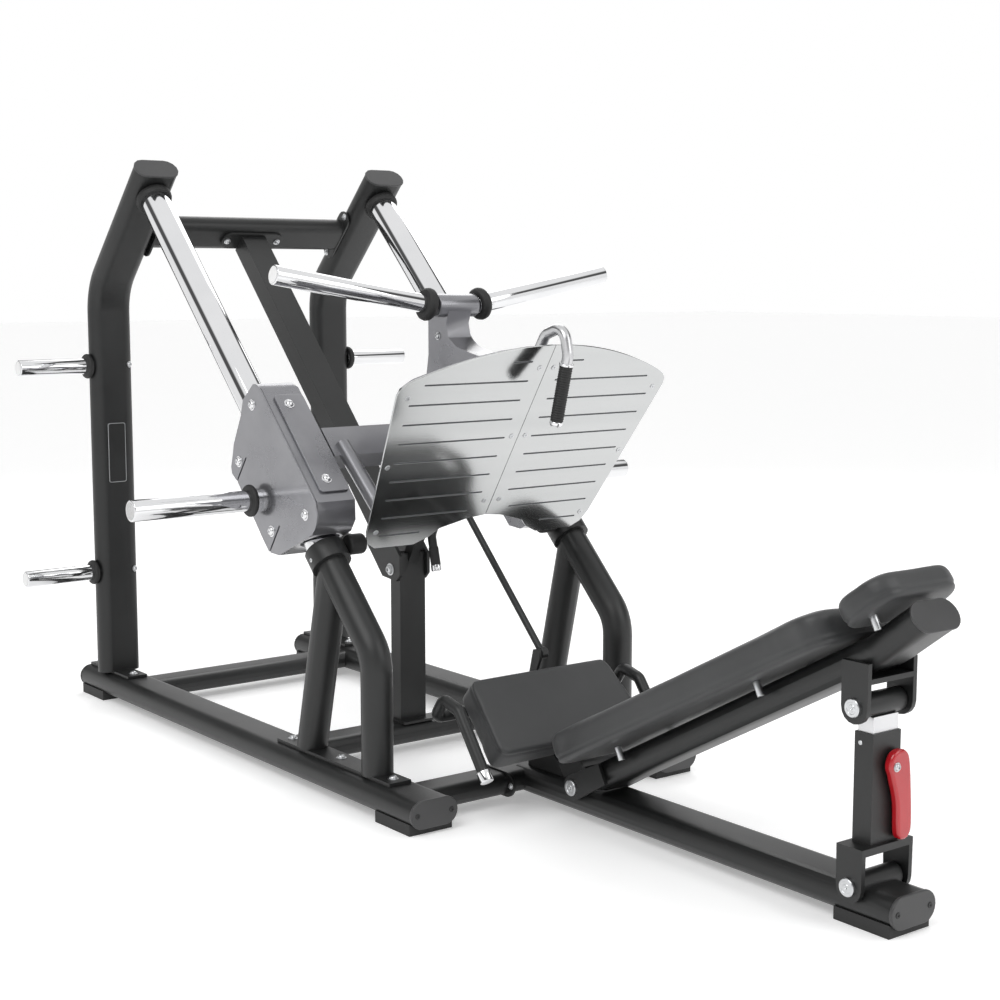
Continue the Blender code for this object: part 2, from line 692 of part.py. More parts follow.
def build_carriage_frame(joint):
    right = [(y - SKIN_SPLIT, up) for y, up in plate_half(0.006)]
    left = [(-y, up) for y, up in reversed(right)]
    curve = flat_curve("carriage_frame", right + left[1:-1])
    curve.extrude = BACKING_THICK / 2
    off = -SKIN_THICK - GAP - BACKING_THICK / 2
    backing = finish("carriage_frame", mesh_of(curve, "carriage_frame"), plate_matrix(off), SILVER, joint)
    tube_end = BOX_Y[0] - GAP
    place = slanted(CARRIAGE_TUBE_DOWN, CARRIAGE_TUBE_OUT)
    half, deep = CARRIAGE_TUBE_WIDE / 2, CARRIAGE_TUBE_DEEP / 2
    section = ((-half, -deep), (half, -deep), (half, deep), (-half, deep))
    ends = [place + Vector((0, y, 0)) for y in (-tube_end, tube_end)]
    tube = bar("carriage_tube", section, ends[0], ends[1], (SLANT, 0, -SLANT), SILVER, joint)
    behind = -SKIN_THICK - GAP - BACKING_THICK / 2
    mast = [
        (MAST_REAR_X - 0.035, 0.800),
        (MAST_REAR_X, 1.000),
        (MAST_REAR_X, 1.090),
        (-0.105, 1.110),
        (-0.050, 1.105),
        (-0.062, 1.075),
        (-0.053, 1.042),
        (-0.021, 1.022),
        (0.030, 1.010),
        xz(on_plate(0.430, behind)),
        xz(on_plate(0.300, behind)),
        (0.040, 0.900),
        (-0.060, 0.860),
        (-0.105, 0.800),
    ]
    spread = (-MAST_HALF, MAST_HALF)
    parts = [tube, plate("mast", mast, spread, SILVER, joint)]
    for side, sign in SIDES:
        start = Vector((-0.150, sign * SUPPORT_Y, 0.795))
        parts.append(rod(f"support_{side}", SUPPORT_RADIUS, start, on_plate(0.03, behind, start.y), SILVER, joint, sides=20))
    x, z = HUB
    weld(backing, *parts)
    cut(backing, rod("hub_seat", HUB_RADIUS + GAP, (x, -0.2, z), (x, 0.2, z), SILVER, joint, sides=32))
    rod("top_hub", HUB_RADIUS, (x, -HUB_HALF, z), (x, HUB_HALF, z), SILVER, joint, sides=32)


def eye(name, place, y_span, radius, paint, joint):
    return rod(name, radius, (place[0], y_span[0], place[1]), (place[0], y_span[1], place[1]), paint, joint, sides=20)


def build_release(shaft_joint, link_joint, catch_joint):
    half = [(0.400, HANDLE_Y, 0.114), (0.300, HANDLE_Y, 0.2475), (0.243, HANDLE_Y, 0.262), (SHAFT[0], HANDLE_Y, SHAFT[1])]
    path = [(x, -y, z) for x, y, z in half] + list(reversed(half))
    shaft = bent_tube("release_handles", rounded_path(path, 0.020, 4), SHAFT_RADIUS, CHROME, shaft_joint)
    arm = ((0.206, 0.207), (0.166, 0.246), (0.186, 0.326), (0.208, 0.330), (0.212, 0.308), (0.190, 0.256), (0.220, 0.222))
    weld(shaft, plate("release_arm", arm, LEVER_Y, BLACK, shaft_joint))
    reach = Vector(LEVER_PIN) - Vector(SHAFT)
    far = Vector(CATCH_PIVOT) + reach
    y = LINK_Y
    link = rod("link_rod", LINK_RADIUS, (LEVER_PIN[0], y, LEVER_PIN[1]), (far.x, y, far.y), BLACK, link_joint, sides=16)
    eyes = (y - 0.0085, y + 0.0085)
    weld(link, *(eye(f"link_eye_{i}", p, eyes, EYE_RADIUS, BLACK, link_joint) for i, p in enumerate((LEVER_PIN, far))))
    x, z = CATCH_PIVOT
    hook = ((x - 0.026, z - 0.046), (x + 0.002, z - 0.050), (x + 0.018, z), (x + 0.012, z + 0.06))
    hook += ((far.x + 0.014, far.y + 0.004),)
    hook += ((far.x + 0.010, far.y + 0.018), (far.x - 0.014, far.y + 0.012), (x - 0.024, z + 0.02))
    catch = plate("catch_lever", hook, LEVER_Y, BLACK, catch_joint)
    middle = sum(LEVER_Y) / 2
    path = ((-0.204, middle, 0.584), (-0.225, middle, 0.545), (-0.203, middle, 0.458))
    stub = bent_tube("catch_stub", rounded_path(path, 0.025, 4), STUB_RADIUS, BLACK, catch_joint, resolution=3)
    weld(catch, stub)


def tilted(centre, tilt):
    """Placement of a slab: its y runs up the slope towards +X, its z stands out of the slope."""
    up = (math.cos(tilt), 0, math.sin(tilt))
    return axes((0, -1, 0), up, (-math.sin(tilt), 0, math.cos(tilt)), (centre[0], 0, centre[1]))


def rounded_outline(corners, radius):
    """A closed outline with round corners."""
    count = len(corners)
    points = []
    for i, corner in enumerate(corners):
        corner = Vector((*corner, 0))
        before, after = Vector((*corners[i - 1], 0)), Vector((*corners[(i + 1) % count], 0))
        arc = rounded_path((corner.lerp(before, 0.5), corner, corner.lerp(after, 0.5)), radius, 4)
        points += [(p.x, p.y) for p in arc[1:-1]]
    return points


def pad(name, half_low, half_high, long, thick, centre, tilt, corner, joint=None):
    outline = ((half_low, -long / 2), (half_high, long / 2), (-half_high, long / 2), (-half_low, -long / 2))
    curve = flat_curve(name, rounded_outline(outline, corner))
    curve.extrude = thick / 2
    return finish(name, mesh_of(curve, name), tilted(centre, tilt), VINYL, joint)


def build_seat():
    pad("seat_pad", SEAT_HALF_LOW, SEAT_HALF_HIGH, SEAT_LONG, SEAT_THICK, SEAT_CENTRE, math.pi - SEAT_TILT, 0.02)
    top = BASE_TOP + GAP
    web = ((0.250, top), (0.380, top), (0.356, 0.1062), (0.264, 0.1915), (0.250, 0.188))
    bracket = plate("seat_bracket", web, (-0.03, 0.03), BLACK)
    down = Vector((math.cos(SEAT_TILT), 0, -math.sin(SEAT_TILT)))
    back = Vector((-math.sin(SEAT_TILT), 0, -math.cos(SEAT_TILT)))
    centre = Vector((SEAT_CENTRE[0], 0, SEAT_CENTRE[1])) + back * (SEAT_THICK / 2 + GAP)
    matrix = axes(down, (0, 1, 0), -back, centre)
    tray = box("seat_tray", (-0.052, -0.15, -0.006), (0.085, 0.15, 0), BLACK, matrix=matrix)
    weld(bracket, tray)
    shaft = Vector((SHAFT[0], 0, SHAFT[1]))
    for side, sign in SIDES:
        span = sorted((sign * 0.100, sign * 0.114))
        lug = ((0.198, 0.203), (0.214, 0.197), (0.276, 0.160), (0.276, 0.1815), (0.232, 0.2165), (0.218, 0.2305))
        weld(bracket, plate(f"shaft_lug_{side}", lug, span, BLACK))
    bore = rod("shaft_bore", SHAFT_RADIUS + 0.0008, shaft + Vector((0, -0.2, 0)), shaft + Vector((0, 0.2, 0)), BLACK)
    cut(bracket, bore)


def round_ear(pivot, radius, towards, width, reach):
    """Outline of an ear: round about its pivot, with straight sides that run towards a point."""
    pivot = Vector(pivot)
    along = (Vector(towards) - pivot).normalized()
    side = Vector((-along.y, along.x))
    points = []
    for step in range(9):
        angle = math.pi * step / 8
        points.append(pivot + side * radius * math.cos(angle) - along * radius * math.sin(angle))
    points.append(pivot + along * reach - side * width / 2)
    points.append(pivot + along * reach + side * width / 2)
    return [tuple(p) for p in points]


def build_backrest(joint, bore):
    along = Vector((math.cos(BACK_TILT), 0, math.sin(BACK_TILT)))
    pivot = Vector((BACK_PIVOT[0], 0, BACK_PIVOT[1]))
    start = pivot + along * BEAM_START
    path = rounded_path(((start.x, start.z, 0), (*BEAM_BEND, 0), (*BEAM_END, 0)), 0.10, 4)
    beam = bent_flat_tube("back_beam", path, 0, BLACK, joint)
    matrix = axes(along, (0, 1, 0), along.cross(Vector((0, 1, 0))), start)
    end_plate = box("beam_end_plate", (-0.008, -EAR_Y[1], -0.024), (0.004, EAR_Y[1], 0.030), BLACK, joint, matrix)
    weld(beam, end_plate)
    for side, sign in SIDES:
        span = sorted(sign * v for v in EAR_Y)
        ear = round_ear(BACK_PIVOT, 0.028, xz(start), 0.048, BEAM_START + 0.05)
        weld(beam, plate(f"back_ear_{side}", ear, span, BLACK, joint))
        span = sorted((sign * 0.0575, sign * 0.0680))
        ear = round_ear((STRUT_X, STRUT_TOP_Z), CLEVIS_HALF, (STRUT_X, 1), 2 * CLEVIS_HALF, 0.085)
        weld(beam, plate(f"top_ear_{side}", ear, span, BLACK, joint))
    low = (STRUT_X - CLEVIS_HALF, -0.0675, STRUT_TOP_Z + 0.046)
    weld(beam, box("clevis_top", low, (STRUT_X + CLEVIS_HALF, 0.0675, STRUT_TOP_Z + 0.056), BLACK, joint))
    cut(beam, bore)
    end = Vector((BEAM_END[0], 0, BEAM_END[1]))
    ahead = (end - Vector((BEAM_BEND[0], 0, BEAM_BEND[1]))).normalized()
    cap = obround(TUBE_WIDE + CAP_LIP, TUBE_DEEP + CAP_LIP)
    start = end + ahead * GAP
    bar("back_beam_cap", cap, start, start + ahead * 0.005, (0, 1, 0), PLASTIC, joint)
    headed_pin("back_pin", pivot, EAR_Y[1] + GAP, ZINC, joint)
    up = Vector((math.cos(BACK_PAD_TILT), math.sin(BACK_PAD_TILT)))
    out = Vector((-up.y, up.x))
    centre = Vector(BACK_PAD_LOW) + up * BACK_PAD_LONG / 2 - out * BACK_PAD_THICK / 2
    half = BACK_PAD_HALF
    pad("back_pad", half, half, BACK_PAD_LONG, BACK_PAD_THICK, centre, BACK_PAD_TILT, 0.05, joint)
    pad("head_pad", HEAD_HALF, HEAD_HALF - 0.02, HEAD_LONG, HEAD_THICK, HEAD_CENTRE, HEAD_TILT, 0.05, joint)


def build_strut(outer_joint, inner_joint, lever_joint, bore):
    x = STRUT_X
    size_x, size_y = (v / 2 for v in OUTER_SIZE)
    outer = box(
        "strut_outer",
        (x - size_x, -size_y, OUTER_SPAN[0]),
        (x + size_x, size_y, OUTER_SPAN[1]),
        BLACK,
        outer_joint,
    )
    low = (x - CLEVIS_HALF, -EAR_Y[1], OUTER_SPAN[0] - 0.010)
    weld(outer, box("clevis_plate", low, (x + CLEVIS_HALF, EAR_Y[1], OUTER_SPAN[0] + 0.004), BLACK, outer_joint))
    for side, sign in SIDES:
        span = sorted(sign * v for v in EAR_Y)
        ear = round_ear((x, STRUT_FOOT_Z), EAR_RADIUS, (x, 1), 2 * CLEVIS_HALF, OUTER_SPAN[0] - STRUT_FOOT_Z + 0.004)
        weld(outer, plate(f"strut_ear_{side}", ear, span, BLACK, outer_joint))
    in_x, in_y = (v / 2 for v in INNER_SIZE)
    pocket_low = (x - in_x - GAP, -in_y - GAP, INNER_SPAN[0] - 0.002)
    cut(outer, box("pocket", pocket_low, (x + in_x + GAP, in_y + GAP, 0.5), BLACK, outer_joint), bore)
    inner = box("strut_inner", (x - in_x, -in_y, INNER_SPAN[0]), (x + in_x, in_y, INNER_SPAN[1]), STAINLESS, inner_joint)
    z = STRUT_TOP_Z
    weld(inner, rod("inner_bush", BUSH_RADIUS, (x, -0.0535, z), (x, 0.0535, z), BLACK, inner_joint, sides=24))
    headed_pin("strut_pin", (x, 0, STRUT_FOOT_Z), EAR_Y[1] + GAP, ZINC, outer_joint)
    curve = flat_curve("strut_lever", RED_LEVER)
    curve.extrude = (LEVER_SPAN_X[1] - LEVER_SPAN_X[0]) / 2
    matrix = axes((0, 1, 0), (0, 0, 1), (1, 0, 0), (sum(LEVER_SPAN_X) / 2, 0, 0))
    finish("strut_lever", mesh_of(curve, "strut_lever"), matrix, RED, lever_joint)


clear_scene()
PARTS = new_collection("leg_press")
CUTTERS = new_collection("cutters")
MACHINE = bpy.data.objects.new("machine", None)
MACHINE.location = (-BOX_SHIFT, 0, 0)
PARTS.objects.link(MACHINE)


def main():
    link_place = (LEVER_PIN[0], LINK_Y, LEVER_PIN[1])
    carriage = new_empty("carriage_slide", slanted(CARRIAGE_TUBE_DOWN, ROD_OUT), MACHINE)
    shaft = new_empty("shaft_joint", (SHAFT[0], 0, SHAFT[1]), MACHINE)
    link = new_empty("link_joint", link_place, MACHINE)
    catch = new_empty("catch_joint", (CATCH_PIVOT[0], 0, CATCH_PIVOT[1]), MACHINE)
    backrest = new_empty("back_joint", (BACK_PIVOT[0], 0, BACK_PIVOT[1]), MACHINE)
    strut = new_empty("strut_joint", (STRUT_X, 0, STRUT_FOOT_Z), MACHINE)
    inner = new_empty("strut_slide", (STRUT_X, 0, STRUT_TOP_Z), MACHINE)
    lever = new_empty("lever_joint", LEVER_PIVOT, MACHINE)
    build_base()
    back_bore, strut_bore = build_seat_beam()
    build_uprights()
    build_top_tube()
    build_spine()
    build_post()
    build_rods_and_aframes()
    build_carriage_boxes(carriage)
    build_foot_plate(carriage)
    build_carriage_frame(carriage)
    build_release(shaft, link, catch)
    build_seat()
    build_backrest(backrest, back_bore)
    build_strut(strut, inner, lever, strut_bore)


main()
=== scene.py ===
import json
import math

import bmesh
import bpy
from mathutils import Matrix, Vector


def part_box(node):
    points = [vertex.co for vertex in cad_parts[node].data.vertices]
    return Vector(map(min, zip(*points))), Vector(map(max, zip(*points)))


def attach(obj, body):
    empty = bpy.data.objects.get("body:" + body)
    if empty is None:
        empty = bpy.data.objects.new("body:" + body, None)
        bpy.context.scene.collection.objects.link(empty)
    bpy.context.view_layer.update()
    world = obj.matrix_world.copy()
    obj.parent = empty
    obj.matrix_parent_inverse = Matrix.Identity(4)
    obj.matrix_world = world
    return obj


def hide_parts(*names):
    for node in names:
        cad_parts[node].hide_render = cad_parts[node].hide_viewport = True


# The leg press machine's looks. Lengths are metres. Places are written in the machine's own frame, which
# has the middle of the base at x = 0; to_world moves them into the frame of the CAD model.

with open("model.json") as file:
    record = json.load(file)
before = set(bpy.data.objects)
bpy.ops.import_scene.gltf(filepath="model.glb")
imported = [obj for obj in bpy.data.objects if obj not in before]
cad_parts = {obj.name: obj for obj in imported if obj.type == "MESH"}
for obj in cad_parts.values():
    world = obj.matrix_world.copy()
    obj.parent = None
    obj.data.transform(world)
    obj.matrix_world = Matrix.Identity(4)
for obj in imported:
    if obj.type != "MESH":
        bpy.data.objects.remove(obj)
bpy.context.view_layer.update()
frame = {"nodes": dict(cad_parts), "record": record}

BOX_SHIFT = 0.0236
SLANT = math.sqrt(0.5)
SIDES = (("left", -1), ("right", 1))
SIDE_Y = 0.355

# Base and uprights
BASE_Z = 0.046
TUBE_WIDE = 0.120
TUBE_DEEP = 0.060
BASE_TOP = BASE_Z + TUBE_DEEP / 2
PLATE_TOP = BASE_TOP + 0.0083
RAIL_END = 0.3383
RAIL_REAR = -1.338
SEAT_BEAM_END = 1.3383
CAP_SCREW_Y = 0.0445
CROSS_FRONT_X = 0.224
CROSS_JOINT_Y = 0.095
UPRIGHT_X = -1.212
UPRIGHT_FACE_Y = SIDE_Y + TUBE_WIDE / 2
TOP_TUBE = (-1.058, 1.305)
STORAGE_HEIGHTS = (("upper", 0.940), ("lower", 0.366))
STORAGE_TIP_Y = 0.621
STORAGE_RADIUS = 0.022
BADGE_HEIGHT = 0.700
BASE_BOLT = 0.0095
TOP_BOLT = 0.0075

# Guide rods and carriage
ROD_OUT = 0.330
ROD_TOP = -1.6402
ROD_END = -0.4673
ROD_RADIUS = 0.038
BUMPER = (-0.078, 0.571)
BOX_Y = (0.305, 0.405)
SIDE_SHEET_THICK = 0.005
HORN = (-0.302, 0.6605)
HORN_END_Y = 0.738
HORN_RADIUS = 0.025
TOP_HORN_RADIUS = 0.0225
MAST_BOLT = (-0.095, 0.0335, 1.045)
BOX_BOLTS = ((-0.853, 0.398), (-0.802, 0.251), (-0.520, 0.397), (-0.589, 0.250))
HUB = (-0.075, 1.117)
TOP_HORN_ROOT = Vector((-0.0765, 0.064, 1.118))
TOP_HORN_TIP = Vector((-0.097, 0.4785, 1.189))

# Foot plate
PLATE_ORIGIN = Vector((0.0286, 0.0, 0.6017))
PLATE_UP = Vector((0.542, 0.0, 0.8404))
PLATE_OFF = Vector((0.8404, 0.0, -0.542))
SKIN_THICK = 0.004
GROOVE_STEP = 0.0525
GROOVE_WIDE = 0.0042
GROOVE_DEEP = 0.0012
SKIN_SCREWS = ((0.455, 0.020), (0.388, 0.350), (0.266, 0.020), (0.200, 0.335), (0.078, 0.022), (0.012, 0.300))

# Release, seat, backrest and strut
SHAFT = (0.210, 0.215)
HANDLE_Y = 0.262
HANDLE_BENDS = ((0.400, 0.114), (0.300, 0.2475), (0.243, 0.262), SHAFT)
LEVER_PIN = (0.200, 0.318)
CATCH_PIVOT = (-0.190, 0.618)
LINK_Y = 0.0500
LEVER_MIDDLE_Y = 0.037
BACK_PIVOT = (0.455, 0.078)
STRUT_X = 1.243
STRUT_FOOT_Z = 0.078
STRUT_TOP_Z = 0.413
LEVER_PIVOT = (1.277, 0.004, 0.300)
PIN_HEAD_Y = 0.0707
TOP_PIN_HEAD_Y = 0.0680
PAD_BOLTS = ((0.625, 0.187), (1.021, 0.401), (1.301, 0.574))
PAD_BOLT_TILT = math.radians(28)

# Upholstery
SEAT_CENTRE = (0.302, 0.207)
SEAT_TILT = math.pi - math.radians(43)
BACK_START = Vector((0.427, 0.193))
BACK_LONG = 0.873
BACK_THICK = 0.070
BACK_TILT = math.radians(27.6)
HEAD_CENTRE = (1.2804, 0.6153)
HEAD_TILT = math.radians(38)
VOXEL = 0.006
PRESSURE = 4.0
SWELL_FRAMES = 20
# A free move of this many caps brings a point three quarters of the way to the cap
FOAM_GIVE = 3.0

# Camera
CAMERA_PLACE = Vector((3.2985, -2.4455, 1.185))
CAMERA_VIEW = Vector((-0.7877, 0.6030, -0.1270))
CAMERA_LENS = 62.86
SENSOR_WIDE = 36

# Studio: each light's name, place, size and power, and the point that they all face
LIGHTS = (
    ("key", (1.5, -3.5, 4.2), 3.0, 80),
    ("fill", (4.0, 1.5, 3.0), 2.6, 45),
    ("back", (-3.5, 2.5, 3.6), 3.0, 60),
)
LIT_POINT = Vector((0, 0, 0.6))
FLOOR_HALF = 40
FLOOR_GLOW = 0.30


def to_world(x, y, z):
    return Vector((x - BOX_SHIFT, y, z))


def slanted(down, out, y=0.0):
    """The point so far down the guide rods' direction and so far out from it."""
    return to_world((down + out) * SLANT, y, (out - down) * SLANT)


def on_plate(up, off, y=0.0):
    place = PLATE_ORIGIN + PLATE_UP * up + PLATE_OFF * off
    return to_world(place.x, y, place.z)


# ---- materials ----


def ramp(nodes, low, high, start=0.0, end=1.0):
    made = nodes.new("ShaderNodeValToRGB")
    made.color_ramp.elements[0].position = start
    made.color_ramp.elements[0].color = (*low, 1)
    made.color_ramp.elements[1].position = end
    made.color_ramp.elements[1].color = (*high, 1)
    return made


def textured(
    name, low, high, metallic, rough, grain=400.0, bump=0.1, stretch=(1, 1, 1), cells=False,
    coat=0.0, sheen=0.0,
):
    """Principled material whose colour, roughness and bump all come from a procedural grain."""
    made = bpy.data.materials.new(name)
    made.use_nodes = True
    nodes, links = made.node_tree.nodes, made.node_tree.links
    shader = nodes["Principled BSDF"]
    shader.inputs["Metallic"].default_value = metallic
    shader.inputs["Coat Weight"].default_value = coat
    shader.inputs["Coat Roughness"].default_value = 0.12
    shader.inputs["Sheen Weight"].default_value = sheen
    place = nodes.new("ShaderNodeTexCoord")
    mapping = nodes.new("ShaderNodeMapping")
    mapping.inputs["Scale"].default_value = stretch
    links.new(place.outputs["Object"], mapping.inputs["Vector"])
    if cells:
        fine = nodes.new("ShaderNodeTexVoronoi")
        fine.feature = "DISTANCE_TO_EDGE"
        height = fine.outputs["Distance"]
    else:
        fine = nodes.new("ShaderNodeTexNoise")
        fine.inputs["Detail"].default_value = 3
        height = fine.outputs["Fac"]
    fine.inputs["Scale"].default_value = grain
    links.new(mapping.outputs["Vector"], fine.inputs["Vector"])
    broad = nodes.new("ShaderNodeTexNoise")
    broad.inputs["Scale"].default_value = 7
    broad.inputs["Detail"].default_value = 4
    links.new(mapping.outputs["Vector"], broad.inputs["Vector"])
    colour = ramp(nodes, low, high, 0.3, 0.7)
    links.new(broad.outputs["Fac"], colour.inputs["Fac"])
    links.new(colour.outputs["Color"], shader.inputs["Base Color"])
    spread = nodes.new("ShaderNodeMapRange")
    spread.inputs["To Min"].default_value = rough[0]
    spread.inputs["To Max"].default_value = rough[1]
    links.new(broad.outputs["Fac"], spread.inputs["Value"])
    links.new(spread.outputs["Result"], shader.inputs["Roughness"])
    relief = nodes.new("ShaderNodeBump")
    relief.inputs["Strength"].default_value = bump
    relief.inputs["Distance"].default_value = 0.0004
    links.new(height, relief.inputs["Height"])
    links.new(relief.outputs["Normal"], shader.inputs["Normal"])
    return made


def floor_paint():
    made = textured("floor", (0.88, 0.88, 0.88), (0.90, 0.90, 0.90), 0.0, (0.70, 0.80), 60, 0.02)
    shader = made.node_tree.nodes["Principled BSDF"]
    shader.inputs["Emission Color"].default_value = (1, 1, 1, 1)
    shader.inputs["Emission Strength"].default_value = FLOOR_GLOW
    return made


def make_materials():
    return {
        "frame_black": textured(
            "frame_black", (0.008, 0.0085, 0.0085), (0.014, 0.0145, 0.0145), 0.0, (0.34, 0.46), 900, 0.22
        ),
        "carriage_silver": textured(
            "carriage_silver", (0.21, 0.21, 0.225), (0.27, 0.27, 0.285), 0.75, (0.24, 0.32),
            1600, 0.05, coat=0.6,
        ),
        "chrome": textured("chrome", (0.72, 0.725, 0.735), (0.78, 0.78, 0.79), 1.0, (0.04, 0.08), 300, 0.01),
        "satin": textured("satin", (0.55, 0.555, 0.56), (0.62, 0.62, 0.63), 1.0, (0.24, 0.34), 500, 0.05),
        "stainless": textured(
            "stainless", (0.50, 0.51, 0.51), (0.58, 0.585, 0.585), 1.0, (0.09, 0.15), 700, 0.04, (0.03, 1, 1)
        ),
        "strut_brushed": textured(
            "strut_brushed", (0.60, 0.60, 0.61), (0.70, 0.70, 0.71), 1.0, (0.28, 0.38),
            700, 0.14, (1, 1, 0.04),
        ),
        # Darker, duller metal for the foot plate's groove faces: painted shade in the grooves
        "groove_painted_shade": textured("groove_painted_shade", (0.09, 0.095, 0.10), (0.13, 0.135, 0.14), 0.6, (0.45, 0.55), 500, 0.05),
        "rubber": textured(
            "rubber", (0.011, 0.011, 0.011), (0.019, 0.019, 0.019), 0.0, (0.55, 0.70), 700, 0.25
        ),
        "cap_plastic": textured(
            "cap_plastic", (0.040, 0.040, 0.041), (0.052, 0.052, 0.053), 0.0, (0.36, 0.46), 1100, 0.18
        ),
        "pad_vinyl": textured(
            "pad_vinyl", (0.026, 0.027, 0.028), (0.036, 0.037, 0.038), 0.0, (0.40, 0.50),
            620, 0.30, cells=True, sheen=0.08,
        ),
        "zinc": textured("zinc", (0.56, 0.57, 0.58), (0.66, 0.67, 0.68), 1.0, (0.24, 0.36), 600, 0.10),
        "lever_red": textured(
            "lever_red", (0.40, 0.004, 0.010), (0.47, 0.006, 0.013), 0.0, (0.22, 0.30), 300, 0.05, coat=0.7
        ),
        "white_cap": textured(
            "white_cap", (0.74, 0.74, 0.74), (0.80, 0.80, 0.80), 0.0, (0.35, 0.45), 500, 0.05
        ),
        "plate_metal": textured(
            "plate_metal", (0.50, 0.51, 0.52), (0.60, 0.61, 0.62), 1.0, (0.30, 0.38), 600, 0.10, (1, 0.05, 1)
        ),
        "floor": floor_paint(),
    }


PAINT = make_materials()


# ---- mesh builders ----


def add(name, mesh, paint, body, replaced=(), matrix=None, bevel=0.0, sharp=35):
    obj = bpy.data.objects.new(name, mesh)
    bpy.context.scene.collection.objects.link(obj)
    obj.matrix_world = matrix or Matrix.Identity(4)
    mesh.materials.clear()
    mesh.materials.append(PAINT[paint])
    for polygon in mesh.polygons:
        polygon.use_smooth = True
    if bevel:
        round_edges(obj, bevel)
    else:
        mesh.set_sharp_from_angle(angle=math.radians(sharp))
    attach(obj, body)
    if replaced:
        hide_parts(*replaced)
    return obj


def round_edges(obj, width, segments=2):
    step = obj.modifiers.new("edges", "BEVEL")
    step.width = width
    step.segments = segments
    step.limit_method = "ANGLE"
    step.angle_limit = math.radians(38)
    step.use_clamp_overlap = True
    even = obj.modifiers.new("normals", "WEIGHTED_NORMAL")
    even.keep_sharp = True


def mesh_from(name, shape):
    bmesh.ops.recalc_face_normals(shape, faces=shape.faces)
    mesh = bpy.data.meshes.new(name)
    shape.to_mesh(mesh)
    shape.free()
    return mesh


def aim(place, direction):
    """Placement whose z runs along the direction."""
    matrix = Vector(direction).to_track_quat("Z", "Y").to_matrix().to_4x4()
    matrix.translation = place
    return matrix


def turned(name, profile, place, direction, paint, body, replaced=(), steps=48, sharp=30):
    """A lathed piece: profile is (distance along the axis, radius), and closes on the axis at its ends."""
    shape = bmesh.new()
    rings = []
    for along, radius in profile:
        if radius == 0:
            rings.append([shape.verts.new((0, 0, along))])
            continue
        turn = [2 * math.pi * step / steps for step in range(steps)]
        rings.append([shape.verts.new((radius * math.cos(a), radius * math.sin(a), along)) for a in turn])
    for first, second in zip(rings, rings[1:]):
        for step in range(steps):
            after = (step + 1) % steps
            around = (
                first[step % len(first)],
                first[after % len(first)],
                second[after % len(second)],
                second[step % len(second)],
            )
            corners = []
            for vertex in around:
                if vertex not in corners:
                    corners.append(vertex)
            if len(corners) > 2:
                shape.faces.new(corners)
    return add(name, mesh_from(name, shape), paint, body, replaced, aim(place, direction), sharp=sharp)


def rounded_bar_profile(length, radius, edge, start=0.0):
    """A cylinder's profile with both of its rims rounded."""
    points = [(start, 0)]
    for step in range(5):
        angle = math.pi / 2 * step / 4
        points.append((start + edge * (1 - math.cos(angle)), radius - edge + edge * math.sin(angle)))
    for step in range(5):
        angle = math.pi / 2 * step / 4
        points.append((start + length - edge * (1 - math.sin(angle)), radius - edge + edge * math.cos(angle)))
    points.append((start + length, 0))
    return points


def ring_profile(inner, outer, wide, edge):
    """A rubber ring's closed section, rounded on the outside."""
    points = [(0, inner)]
    for step in range(7):
        angle = math.pi * step / 6
        points.append((wide / 2 - (wide / 2) * math.cos(angle), outer - edge + edge * math.sin(angle)))
    points.append((wide, inner))
    points.append((0, inner))
    return points


def prism(name, outline, thickness, matrix, paint, body, replaced=(), bevel=0.0012):
    """An outline in the placement's x and y, half its thickness to each side."""
    shape = bmesh.new()
    low = [shape.verts.new((x, y, -thickness / 2)) for x, y in outline]
    high = [shape.verts.new((x, y, thickness / 2)) for x, y in outline]
    shape.faces.new(low)
    shape.faces.new(high)
    for i in range(len(outline)):
        after = (i + 1) % len(outline)
        shape.faces.new((low[i], low[after], high[after], high[i]))
    return add(name, mesh_from(name, shape), paint, body, replaced, matrix, bevel)


def smooth_outline(points, steps):
    """A closed curve through the points, each span filled in as a Catmull-Rom spline."""
    count, found = len(points), []
    for i in range(count):
        a, b, c, d = (Vector(points[(i + k) % count]) for k in (-1, 0, 1, 2))
        for step in range(steps):
            t = step / steps
            bend, twist = 2 * a - 5 * b + 4 * c - d, 3 * b - a - 3 * c + d
            place = 2 * b + (c - a) * t + bend * t * t + twist * t * t * t
            found.append(tuple(place / 2))
    return found


def placement(x_axis, y_axis, z_axis, place):
    matrix = Matrix((x_axis, y_axis, z_axis)).transposed().to_4x4()
    matrix.translation = place
    return matrix


def side_on(y):
    """Stands an outline in (x, z) up at this y."""
    return placement((1, 0, 0), (0, 0, 1), (0, -1, 0), (-BOX_SHIFT, y, 0))


def obround(wide, deep, steps=12):
    radius = deep / 2
    points = []
    for side in (1, -1):
        for step in range(steps + 1):
            angle = -math.pi / 2 + math.pi * step / steps
            x = side * (wide / 2 - radius + radius * math.cos(angle))
            points.append((x, side * radius * math.sin(angle)))
    return points


def rounded_rectangle(wide, deep, radius, steps=6):
    points = []
    for i, (sx, sy) in enumerate(((1, 1), (-1, 1), (-1, -1), (1, -1))):
        for step in range(steps + 1):
            angle = math.pi / 2 * (i + step / steps)
            x = sx * (wide / 2 - radius) + radius * math.cos(angle)
            points.append((x, sy * (deep / 2 - radius) + radius * math.sin(angle)))
    return points


